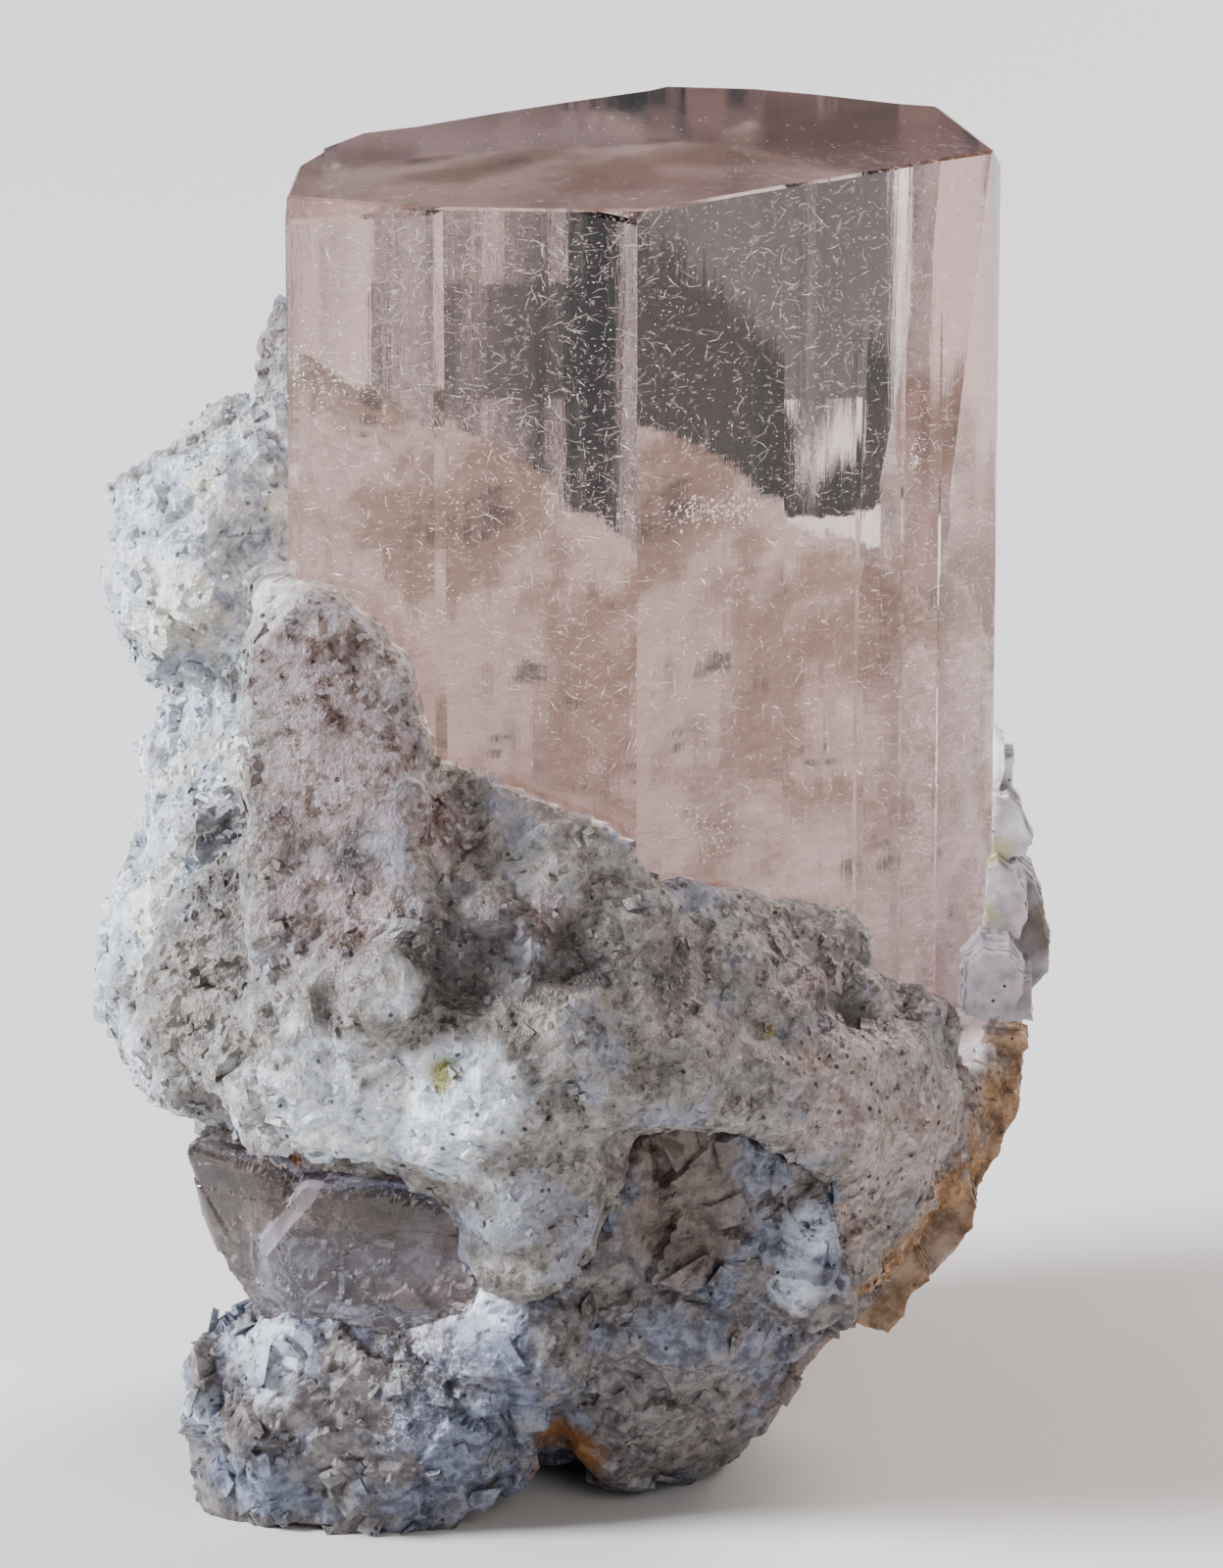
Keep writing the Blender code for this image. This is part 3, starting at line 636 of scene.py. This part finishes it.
def roughness_at(spot, tree):
    """How strongly the rock is broken at a spot: little beside the crystal and on its smooth faces."""
    share = 1.0 - (1.0 - FRONT_ROUGHNESS) * limited((spot.x - ROUGH_LEFT) / ROUGH_FADE)
    scale, strength = ROUGH_CROWDS
    share *= 1.0 + strength * noise.noise(spot * scale)
    for middle, reach in SMOOTH_SPOTS:
        near = limited(SPOT_FADE - (spot - Vector(middle)).length / reach)
        share *= 1.0 - SPOT_SMOOTHNESS * near
    if tree is not None:
        found, _, _, distance = tree.find_nearest(spot, CALM_REACH)
        if found is not None:
            share *= limited((distance - CONTACT_REACH) / (CALM_REACH - CONTACT_REACH))
    return share


def swell_height(spot):
    """The height of the few single lumps and dents that the rock has at known places."""
    height = 0.0
    for middle, reach, rise in SWELLS:
        near = (spot - Vector(middle)).length / reach
        height += rise * max(1.0 - near * near, 0.0)
    return height


def weathered(obj, facets, lumps, grain, grow, tree):
    """Gives the rock its broken faces, lumps and grain, and keeps how deep it lies in a mask for painted
    shade.
    """
    mesh = obj.data
    # the hollow mask holds painted shade: how deep each point lies below the broken surface
    depth = mesh.attributes.new("hollow", "FLOAT", "POINT")
    moves = []
    for vert in mesh.vertices:
        raised = sum(facet_height(vert.co, *facet) for facet in facets)
        raised += sum(lump_height(vert.co, *lump) for lump in lumps)
        raised += sum(noise.noise(vert.co * scale) * height for scale, height in grain)
        raised *= roughness_at(vert.co, tree)
        moves.append(raised + swell_height(vert.co))
    reach = max(abs(move) for move in moves)
    normals = [vert.normal.copy() for vert in mesh.vertices]
    for vert, normal, move in zip(mesh.vertices, normals, moves):
        vert.co += normal * (move + grow)
        depth.data[vert.index].value = limited(-move / reach * HOLLOW_SHADE_GAIN - HOLLOW_SHADE_START)


def grown_onto(obj, tree):
    """Draws the rock near the crystal onto it, so that no gap shows between them."""
    contact = obj.data.attributes.new("contact", "FLOAT", "POINT")
    facings = [vert.normal.copy() for vert in obj.data.vertices]
    for vert, facing in zip(obj.data.vertices, facings):
        spot, normal, _, distance = tree.find_nearest(vert.co, CONTACT_REACH)
        if spot is None:
            continue
        if facing.dot(normal) < FACING:
            contact.data[vert.index].value = 1.0
        vert.co = spot - normal * CONTACT_DEPTH


def kept_in_box(obj):
    """Moves what stands out of the CAD model's box back to it."""
    low, high = (Vector(corner) / MM - ORIGIN for corner in CAD_BOX)
    for vert in obj.data.vertices:
        for axis in range(3):
            vert.co[axis] = limited(vert.co[axis], low[axis], high[axis])


# Where each colour lies on a rock, in mm of the drawing: the middle of each patch and its reach
FELDSPAR_ZONES = {
    "white": [
        ((-20.5, 0.0, 45.0), 9.5), ((-21.0, -2.0, 35.0), 8.0), ((-20.5, -6.0, 28.0), 9.5),
        ((-19.0, -12.0, 23.5), 6.0), ((-13.5, -21.0, 24.0), 5.5), ((-8.5, -22.5, 23.5), 4.5),
        ((-5.7, -25.0, 25.3), 2.8), ((-10.3, -25.0, 30.3), 1.9), ((-19.0, 7.0, 31.0), 9.0),
        ((-16.5, -16.8, 46.6), 2.2), ((-10.2, -22.8, 33.4), 1.8),
    ],
    "brown": [
        ((-13.6, -19.0, 43.0), 4.8), ((-13.2, -20.6, 39.1), 5.0), ((-12.5, -22.5, 34.0), 4.2),
        ((-3.0, -21.5, 32.6), 1.6), ((-8.5, -19.5, 37.0), 2.6), ((9.5, -14.5, 27.6), 2.0),
    ],
    "pink": [
        ((11.0, -16.0, 22.6), 4.0), ((13.5, -13.0, 19.0), 4.6), ((16.0, -9.5, 18.0), 3.6),
        ((10.8, -13.8, 15.0), 3.0), ((18.0, -4.0, 19.5), 3.0),
    ],
    # dark: painted shade in the rock's crevices and dents
    "dark": [
        ((-8.5, -23.5, 32.0), 2.6), ((-4.8, -23.2, 31.2), 3.0), ((-1.1, -21.8, 31.2), 2.8),
        ((2.6, -20.5, 29.9), 2.0), ((-8.2, -24.8, 29.6), 1.6), ((11.5, -12.0, 24.4), 1.6),
        ((-13.0, 14.0, 26.0), 5.0), ((-12.0, -21.8, 36.3), 1.8), ((4.5, -19.0, 35.0), 1.6),
    ],
    "orange": [
        ((21.0, 1.0, 19.5), 2.6), ((20.4, -0.8, 16.5), 3.6), ((18.4, -3.6, 13.4), 4.4),
        ((16.0, -6.0, 10.6), 4.6), ((13.2, -9.5, 9.8), 3.6), ((19.0, 6.0, 12.0), 6.0),
    ],
    "green": [((-7.9, -24.8, 26.0), 0.8), ((7.6, -17.9, 26.2), 0.5)],
    # painted light: the glow that the clear crystal gives the rock under it, palest low down
    "glow": [
        ((6.0, 2.0, 11.0), 25.0), ((15.0, 6.0, 24.0), 12.0), ((4.0, 14.0, 46.0), 4.0),
    ],
}
QUARTZ_ZONES = {
    "brown": [((3.2, -18.4, 20.6), 4.0), ((3.6, -17.4, 16.6), 3.6), ((8.0, -10.0, 6.0), 3.0)],
    "white": [
        ((8.6, -16.8, 12.9), 1.7), ((-16.9, -16.0, 9.6), 2.6), ((-20.0, -13.5, 6.0), 2.2),
        ((-5.5, -17.0, 12.4), 2.2), ((9.8, -17.1, 15.8), 1.4),
    ],
    "grey": [((3.7, -14.8, 5.0), 6.0), ((12.0, -9.0, 9.0), 3.0)],
    "orange": [((-2.2, -13.5, 3.0), 2.2), ((11.0, -8.0, 6.4), 2.0)],
    "web": [((-9.6, -18.0, 7.6), 3.4)],
}
SMOKY_ZONES = {
    "pink": [((-8.0, -18.0, 14.6), 3.4)],
    "amber": [((-15.3, -14.0, 18.6), 0.8)],
}
PLATE_ZONES = {
    "white": [((19.4, 2.4, 34.5), 2.0)],
    "green": [((19.1, 1.2, 29.6), 1.1), ((19.0, -0.8, 27.4), 1.0)],
    "brown": [((22.0, 5.0, 25.0), 3.2)],
    "orange": [
        ((20.8, 0.0, 19.0), 3.2), ((19.4, -1.5, 15.5), 4.0), ((17.5, -4.0, 12.0), 4.5),
        ((14.0, -8.0, 9.5), 4.5), ((21.0, 5.0, 14.0), 6.0),
    ],
}


# The waves in the zones' limits, by noise a mm and strength, and how fast a zone starts at its limit
ZONE_WAVES = [(0.35, 0.5), (1.3, 0.35)]
ZONE_EDGE = 2.5


def painted(obj, zones):
    """Marks the rock's colour zones, with wavy limits, as masks for its material."""
    mesh = obj.data
    for name, patches in zones.items():
        layer = mesh.attributes.new(name, "FLOAT", "POINT")
        for vert in mesh.vertices:
            wave = 1.0 + sum(noise.noise(vert.co * scale) * height for scale, height in ZONE_WAVES)
            share = 0.0
            for middle, reach in patches:
                near = 1.0 - (vert.co - Vector(middle)).length / (reach * wave)
                share = max(share, min(near * ZONE_EDGE, 1.0))
            layer.data[vert.index].value = share


def into_frame(obj):
    """Turns a piece from the drawing's mm into the frame's metres."""
    obj.data.transform(Matrix.Scale(MM, 4) @ Matrix.Translation(ORIGIN))


def dressed(obj, node, made):
    """Puts a finished piece in the place of its CAD node."""
    into_frame(obj)
    obj.data.materials.append(made)
    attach(obj, BODY)
    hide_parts(node)


def strewn(obj, crumbs, tree):
    """Sets small broken crystals on the rock, thicker on its rough parts, as part of its mesh."""
    draw = random.Random(CRUMB_SEED)
    scale, strength = CRUMB_CROWDS
    shape = bmesh.new()
    shape.from_mesh(obj.data)
    hosts = list(shape.verts)
    for count, size, flatness in crumbs:
        placed = 0
        while placed < count:
            host = hosts[draw.randrange(len(hosts))]
            if draw.random() > roughness_at(host.co, tree) + noise.noise(host.co * scale) * strength:
                continue
            add_crumb(shape, host.co, host.normal, draw.uniform(*size), flatness, draw)
            placed += 1
    shape.to_mesh(obj.data)
    shape.free()


# The sliver on the smoky quartz: its ends, half its width and half its thickness in mm, and its ends' slant
SMOKY_SHARD = ((-14.3, -17.4, 18.2), (-16.9, -16.6, 14.8), 0.36, 0.5)
SHARD_SLANTS = (0.5, -0.6)
BOX_CORNERS = ((-1, -1), (1, -1), (1, 1), (-1, 1))


def closed_box(shape, below, above):
    """Faces round two rings of four corners."""
    faces = [shape.faces.new(above)]
    for side in range(4):
        after = (side + 1) % 4
        faces.append(shape.faces.new((below[side], below[after], above[after], above[side])))
    faces.append(shape.faces.new(below[::-1]))
    return faces


def add_shard(obj, start, end, width, thick):
    """A thin flat sliver with slanted ends, lying on a piece, marked for its material."""
    first = len(obj.data.vertices)
    shape = bmesh.new()
    shape.from_mesh(obj.data)
    start, end = Vector(start), Vector(end)
    along = (end - start).normalized()
    out = Vector((0.0, -1.0, 0.0))
    across = along.cross(out).normalized()
    rings = []
    for spot, slant in zip((start, end), SHARD_SLANTS):
        rings.append([
            shape.verts.new(spot + across * x * width + out * y * thick + along * x * width * slant)
            for x, y in BOX_CORNERS
        ])
    bmesh.ops.recalc_face_normals(shape, faces=closed_box(shape, *rings))
    shape.to_mesh(obj.data)
    shape.free()
    marks = obj.data.attributes.new("shard", "FLOAT", "POINT")
    for index in range(first, len(obj.data.vertices)):
        marks.data[index].value = 1.0


def add_crumb(shape, spot, normal, size, flatness, draw):
    """One broken crystal: a leaning block with uneven sides, half sunk in the rock."""
    lean = Vector((draw.gauss(0, 1), draw.gauss(0, 1), draw.gauss(0, 1))) * CRUMB_LEAN
    turn = (normal + lean).normalized().to_track_quat("Z", "Y")
    turn = turn @ Quaternion((0, 0, 1), draw.uniform(0, math.pi))
    width = size * draw.uniform(*CRUMB_WIDTH)
    height = size * flatness
    rings = []
    for level, share in ((-height, 1.0), (height, draw.uniform(*CRUMB_TOP))):
        ring = []
        for x, y in BOX_CORNERS:
            x_reach = size * share * draw.uniform(*CRUMB_CORNERS)
            y_reach = width * share * draw.uniform(*CRUMB_CORNERS)
            corner = Vector((x * x_reach, y * y_reach, level * draw.uniform(*CRUMB_HEIGHT)))
            corner.rotate(turn)
            ring.append(shape.verts.new(spot + corner))
        rings.append(ring)
    closed_box(shape, *rings)


def rock(
    node, name, made, zones, voxel, facets, lumps, grain,
    grow=GROWTH, tree=None, crumbs=(), shard=None,
):
    """A node's shape made fine and broken, grown onto the crystal if its tree is given, and coloured."""
    obj = copy_of(node, name)
    remeshed(obj, voxel)
    weathered(obj, facets, lumps, grain, grow, tree)
    if tree is not None:
        grown_onto(obj, tree)
    if crumbs:
        obj.data.update()
        strewn(obj, crumbs, tree)
    if shard is not None:
        add_shard(obj, *shard)
    kept_in_box(obj)
    painted(obj, zones)
    dressed(obj, node, made)
    return obj


def flat_faced(obj):
    """Joins the triangles of each flat face into one face."""
    shape = bmesh.new()
    shape.from_mesh(obj.data)
    bmesh.ops.dissolve_limit(
        shape, angle_limit=math.radians(FLAT_ANGLE), verts=shape.verts, edges=shape.edges
    )
    return shape


# The thin plates on the right: corners of each as X and Z, then front and back Y, in mm of the drawing
ALBITE_PLATES = [
    ([(19.0, 32.5), (19.2, 35.7), (19.8, 35.2), (19.9, 33.8), (19.5, 32.3)], 2.4, 5.2),
    ([(19.1, 32.0), (19.4, 34.3), (20.4, 34.2), (20.3, 32.0)], 3.0, 7.0),
    ([(18.8, 28.6), (18.9, 33.0), (19.9, 32.9), (20.7, 31.8), (21.4, 30.0), (21.0, 29.2)], 1.4, 7.0),
    ([(18.3, 25.3), (18.6, 29.8), (19.3, 30.0), (20.4, 29.3), (21.0, 28.0), (21.1, 26.7),
      (20.6, 25.4), (19.4, 24.9)], -0.6, 5.5),
    ([(20.1, 22.4), (20.3, 29.1), (21.4, 28.0), (21.9, 26.7), (22.4, 24.4), (22.3, 22.6),
      (21.2, 21.4)], 3.2, 9.5),
    ([(17.3, 22.8), (17.4, 25.6), (18.4, 26.5), (19.9, 26.3), (20.7, 25.0), (20.7, 24.0),
      (19.9, 22.7), (18.4, 22.4)], -4.8, 2.0),
    ([(19.2, 21.7), (19.2, 24.2), (21.2, 24.0), (21.3, 21.8)], -2.6, 6.5),
]
EDGE_PLATES = [
    ([(18.4, 16.5), (18.6, 21.2), (20.9, 21.0), (20.9, 18.9), (20.2, 17.6), (20.0, 16.1)], -0.7, 6.5),
    ([(17.0, 13.2), (17.4, 19.0), (19.6, 18.0), (20.2, 16.4), (19.7, 14.6), (18.2, 12.3)], -2.0, 5.0),
    ([(15.2, 9.8), (15.0, 15.2), (17.9, 15.9), (18.6, 13.0), (18.4, 11.7), (17.3, 10.2),
      (15.9, 8.6)], -4.4, 4.0),
    ([(10.5, 7.6), (11.0, 12.2), (15.0, 12.4), (16.3, 10.0), (15.1, 9.0), (14.8, 7.8), (13.8, 6.7)],
     -7.2, 2.0),
]

# A plate's ragged rim, in mm, the thickness of its sheets, their sizes and overlap, how much it leans,
# where along its depth it is fullest, and its sizes at the front and the back as shares of the fullest
PLATE_SEED = 23
RAGGED_STEP = 0.3
RAGGED_DEPTH = 0.16
SHEET_THICKNESS = (0.55, 1.2)
SHEET_SIZES = (0.95, 1.0)
SHEET_STEP = 0.97
PLATE_LEAN = 0.12
PLATE_FULLEST = 0.4
PLATE_FRONT_SIZE = 0.86
PLATE_BACK_SIZE = 0.55


def upright(face):
    return abs(face.normal.z) < UPRIGHT


def cut(shape, faces, spot, direction):
    """Cuts some of a shape's faces along a plane."""
    parts = dict.fromkeys(faces)
    for face in faces:
        parts.update(dict.fromkeys(face.edges))
        parts.update(dict.fromkeys(face.verts))
    bmesh.ops.bisect_plane(shape, geom=list(parts), dist=1e-5, plane_co=spot, plane_no=direction)


def cut_lines(shape):
    """Cuts the prism's sides into narrow upright strips and a few levels."""
    low = [min(vert.co[axis] for vert in shape.verts) for axis in range(3)]
    high = [max(vert.co[axis] for vert in shape.verts) for axis in range(3)]
    draw = random.Random(LINE_SEED)
    for axis in (0, 1):
        direction = Vector((1.0 - axis, float(axis), 0.0))
        spot = low[axis] + LINE_PITCH
        while spot < high[axis] - LINE_PITCH:
            sides = [face for face in shape.faces if upright(face) and abs(face.normal[axis]) < ALONG]
            cut(shape, sides, direction * spot, direction)
            spot += LINE_PITCH * draw.uniform(*LINE_UNEVEN)
    for level in range(1, LINE_LEVELS):
        height = low[2] + (high[2] - low[2]) * (level + draw.uniform(*LEVEL_UNEVEN)) / LINE_LEVELS
        cut(shape, [face for face in shape.faces if upright(face)], (0, 0, height), (0, 0, 1))


def stretched(spot, scale):
    return Vector((spot.x * scale[0], spot.y * scale[1], spot.z * scale[2]))


def carve_lines(shape):
    """Sinks the strips by small amounts that change slowly with height."""
    normals = {}
    for vert in shape.verts:
        sides = [face.normal for face in vert.link_faces if upright(face)]
        if sides:
            normals[vert] = sum(sides, Vector()).normalized()
    for vert, normal in normals.items():
        fine = noise.noise(stretched(vert.co, LINE_NOISE))
        broad = noise.noise(stretched(vert.co, LINE_CROWDS) + CROWDS_START)
        strength = limited(0.5 + broad * CROWDS_STRENGTH, *LINE_STRENGTHS)
        if normal.x > 0.3 and normal.y < 0:
            strength *= SMOOTH_FACE
        depth = LINE_DEPTH * (1.0 + fine * 2.0) * strength
        vert.co -= Vector((normal.x, normal.y, 0.0)).normalized() * max(depth, 0.0)


def level_top(shape):
    """Puts all corners of the flat top at one height, so that it reflects as one face."""
    top = max(vert.co.z for vert in shape.verts)
    for vert in shape.verts:
        if top - vert.co.z < TOP_SLACK:
            vert.co.z = top


def worn(edge):
    """Whether an edge is rounded: those round the flat top."""
    if edge.calc_face_angle(0.0) < math.radians(WORN_ANGLE):
        return False
    facing = sum((face.normal for face in edge.link_faces), Vector())
    return facing.z > WORN_FACING


def clear_crystal():
    """The clear prism. Gives back a tree of its faces, for what touches it or lies in it."""
    obj = copy_of("topaz_crystal", "clear_topaz")
    shape = flat_faced(obj)
    bmesh.ops.remove_doubles(shape, verts=shape.verts, dist=NARROW_STEP)
    sharp = [edge for edge in shape.edges if worn(edge)]
    bmesh.ops.bevel(
        shape, geom=sharp, offset=EDGE_BEVEL, segments=1, affect="EDGES", clamp_overlap=True
    )
    shape.normal_update()
    cut_lines(shape)
    shape.normal_update()
    carve_lines(shape)
    level_top(shape)
    bmesh.ops.recalc_face_normals(shape, faces=shape.faces)
    shape.to_mesh(obj.data)
    tree = BVHTree.FromBMesh(shape)
    shape.free()
    dressed(obj, "topaz_crystal", topaz_material())
    obj.visible_shadow = False
    return tree


def inside(tree, spot, margin):
    """Whether a spot is in the crystal, and deeper than the margin."""
    near, normal, _, distance = tree.find_nearest(spot)
    return distance > margin and (spot - near).dot(normal) < 0


def spots_in_crystal(tree, count, margin, draw):
    """Places in the crystal, more of them close behind its front faces."""
    low, high = (Vector(corner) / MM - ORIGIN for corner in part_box("topaz_crystal"))
    found = []
    while len(found) < count:
        x = draw.uniform(low.x, high.x)
        z = draw.uniform(low.z, high.z)
        start = Vector((x, low.y - 1.0, z))
        front, _, _, _ = tree.ray_cast(start, Vector((0, 1, 0)))
        if front is None:
            continue
        spot = front + Vector((0, margin + DEEPEST_NEEDLE * draw.random() ** DEPTH_POWER, 0))
        crowd = COMMON_CROWD + sum(noise.noise(spot * scale) * rise for scale, rise in NEEDLE_CROWDS)
        if draw.random() < crowd and inside(tree, spot, margin):
            found.append(spot)
    return found


def needle_points(spot, draw):
    """The middle line of one needle: short, and a little bent."""
    length = draw.uniform(*NEEDLE_LENGTH) * draw.random() ** LENGTH_POWER
    along = Vector([draw.gauss(0, lean) for lean in NEEDLE_LEAN]).normalized()
    across = along.orthogonal().normalized()
    bend = draw.uniform(-NEEDLE_BEND, NEEDLE_BEND) * length
    return [spot + along * length * (share - 0.5) + across * bend * (1 - (2 * share - 1) ** 2)
            for share in (0.0, 0.5, 1.0)]


def add_tube(verts, faces, points, width):
    """A three-sided tube through the points, with points for ends."""
    along = (points[-1] - points[0]).normalized()
    side = along.orthogonal().normalized()
    up = along.cross(side)
    start = len(verts)
    for point, size in zip(points, NEEDLE_TAPER):
        for turn in range(3):
            angle = 2 * math.pi * turn / 3
            verts.append(point + (side * math.cos(angle) + up * math.sin(angle)) * width * size)
    for ring in (0, 3):
        for turn in range(3):
            next_turn = (turn + 1) % 3
            faces.append((start + ring + turn, start + ring + next_turn,
                          start + ring + 3 + next_turn, start + ring + 3 + turn))
    faces.append((start + 2, start + 1, start))
    faces.append((start + 6, start + 7, start + 8))


def add_speck(verts, faces, spot, size, draw):
    """A tiny four-faced grain."""
    start = len(verts)
    spin = Vector((draw.gauss(0, 1), draw.gauss(0, 1), draw.gauss(0, 1))).normalized()
    corners = [(1, 1, 1), (1, -1, -1), (-1, 1, -1), (-1, -1, 1)]
    for corner in corners:
        out = Vector(corner)
        out.rotate(spin.to_track_quat("Z", "Y"))
        verts.append(spot + out * size)
    faces += [(start, start + 1, start + 2), (start, start + 3, start + 1),
              (start, start + 2, start + 3), (start + 1, start + 3, start + 2)]


def inclusions(tree):
    """The fine needles and specks that hang in the crystal, as one mesh."""
    draw = random.Random(NEEDLE_SEED)
    verts, faces = [], []
    for spot in spots_in_crystal(tree, NEEDLES, NEEDLE_MARGIN, draw):
        add_tube(verts, faces, needle_points(spot, draw), draw.uniform(*NEEDLE_WIDTH))
    for spot in spots_in_crystal(tree, SPECKS, SPECK_MARGIN, draw):
        add_speck(verts, faces, spot, draw.uniform(*SPECK_SIZE), draw)
    for middle, spread, count in GLINTS:
        for _ in range(count):
            away = Vector(draw.gauss(0, size) for size in spread)
            spot = Vector(middle) + away
            if inside(tree, spot, GLINT_MARGIN):
                add_speck(verts, faces, spot, draw.uniform(*GLINT_SIZE), draw)
    obj = new_piece("crystal_needles", verts, faces)
    into_frame(obj)
    obj.data.materials.append(needle_material())
    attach(obj, BODY)


def jagged(outline, size, draw):
    """A plate's outline at a share of its size, with small ragged steps along it."""
    middle = sum((Vector(corner) for corner in outline), Vector((0, 0))) / len(outline)
    points = []
    for start, end in zip(outline, outline[1:] + outline[:1]):
        start, end = Vector(start), Vector(end)
        steps = max(int((end - start).length / RAGGED_STEP), 1)
        for step in range(steps):
            point = start.lerp(end, step / steps)
            inward = draw.uniform(0.0, RAGGED_DEPTH) if step else 0.0
            away = point - middle
            points.append(middle + away * size * (1.0 - inward / max(away.length, 1.0)))
    return points


def add_sheet(verts, faces, points, front, back, tilt):
    """One thin sheet of a plate, leaning a little."""
    start = len(verts)
    count = len(points)
    middle = sum(points, Vector((0, 0))) / count
    for depth in (front, back):
        for point in points:
            away = point - middle
            verts.append(Vector((point.x, depth + away.x * tilt[0] + away.y * tilt[1], point.y)))
    faces.append(tuple(range(start, start + count)))
    faces.append(tuple(range(start + 2 * count - 1, start + count - 1, -1)))
    for turn in range(count):
        after = (turn + 1) % count
        faces.append((start + turn, start + count + turn, start + count + after, start + after))


def add_plate(verts, faces, outline, front, back, draw):
    """A plate of thin sheets, whole at its fullest depth and smaller to its front and back."""
    depth = front
    fullest = front + (back - front) * PLATE_FULLEST
    tilt = (draw.uniform(-PLATE_LEAN, PLATE_LEAN), draw.uniform(-PLATE_LEAN, PLATE_LEAN))
    while depth < back:
        thick = draw.uniform(*SHEET_THICKNESS)
        if depth < fullest:
            whole = (depth - front) / (fullest - front)
            size = PLATE_FRONT_SIZE + (1.0 - PLATE_FRONT_SIZE) * whole
        else:
            size = 1.0 - (1.0 - PLATE_BACK_SIZE) * (depth - fullest) / (back - fullest)
        size *= draw.uniform(*SHEET_SIZES)
        add_sheet(verts, faces, jagged(outline, size, draw), depth, depth + thick, tilt)
        depth += thick * SHEET_STEP


def plates(name, outlines, node=None):
    """A pile of thin ragged plates as one piece."""
    draw = random.Random(PLATE_SEED)
    verts, faces = [], []
    for outline, front, back in outlines:
        add_plate(verts, faces, outline, front, back, draw)
    obj = new_piece(name, verts, faces)
    shape = bmesh.new()
    shape.from_mesh(obj.data)
    bmesh.ops.recalc_face_normals(shape, faces=shape.faces)
    shape.to_mesh(obj.data)
    shape.free()
    kept_in_box(obj)
    painted(obj, PLATE_ZONES)
    into_frame(obj)
    obj.data.materials.append(albite_material())
    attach(obj, BODY)
    if node is not None:
        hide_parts(node)


# Dark cards round the specimen, which show only through what is clear: how far behind it or to its
# right each stands, in mm of the drawing, its corners there, and how pale its black and its grey are
CARD_BEHIND = 24.0
CARD_BEHIND_ABOVE = 24.5
CARD_RIGHT = 24.0
BLACK = 0.006
GREY = 0.12
CARD_ROUGHNESS = 0.9
DARK_BEHIND = [(-11.0, 61.0), (-6.4, 61.0), (-4.3, 57.1), (6.3, 43.9), (-11.0, 43.9)]
GREY_BEHIND = [(-11.0, 62.5), (14.0, 62.5), (14.0, 42.0), (6.5, 43.9), (3.6, 50.0), (-11.0, 50.0)]
DARK_RIGHT = [
    (3.8, 55.0), (5.8, 55.2), (6.2, 59.5), (8.6, 59.5), (8.6, 42.5), (6.6, 42.5), (5.4, 49.0),
    (3.8, 49.0),
]


def card(name, corners, shade):
    """A flat card that no light or eye meets but through what is clear."""
    obj = stage_piece(name, [place(*corner) for corner in corners], (shade,) * 3, CARD_ROUGHNESS)
    obj.visible_camera = False
    obj.visible_diffuse = False
    obj.visible_glossy = False
    obj.visible_shadow = False


make_camera()
make_light()
limit_bounces()
make_floor()
card("card_behind", [(x, CARD_BEHIND, z) for x, z in DARK_BEHIND], BLACK)
card("card_behind_above", [(x, CARD_BEHIND_ABOVE, z) for x, z in GREY_BEHIND], GREY)
card("card_right", [(CARD_RIGHT, y, z) for y, z in DARK_RIGHT], BLACK)
crystal_tree = clear_crystal()
inclusions(crystal_tree)
rock(
    "feldspar_matrix", "feldspar_rock", feldspar_material(), FELDSPAR_ZONES,
    FELDSPAR_VOXEL, FELDSPAR_FACETS, FELDSPAR_LUMPS, FELDSPAR_GRAIN,
    tree=crystal_tree, crumbs=FELDSPAR_CRUMBS,
)
rock(
    "quartz_base", "quartz_rock", quartz_material(), QUARTZ_ZONES,
    QUARTZ_VOXEL, QUARTZ_FACETS, QUARTZ_LUMPS, QUARTZ_GRAIN, grow=QUARTZ_GROWTH, crumbs=QUARTZ_CRUMBS,
)
smoky = rock(
    "smoky_quartz", "smoky_crystals", smoky_material(), SMOKY_ZONES,
    SMOKY_VOXEL, SMOKY_FACETS, [], SMOKY_GRAIN, shard=SMOKY_SHARD,
)
smoky.visible_shadow = False
plates("albite_plates", ALBITE_PLATES, "albite_blades")
plates("edge_plates", EDGE_PLATES)
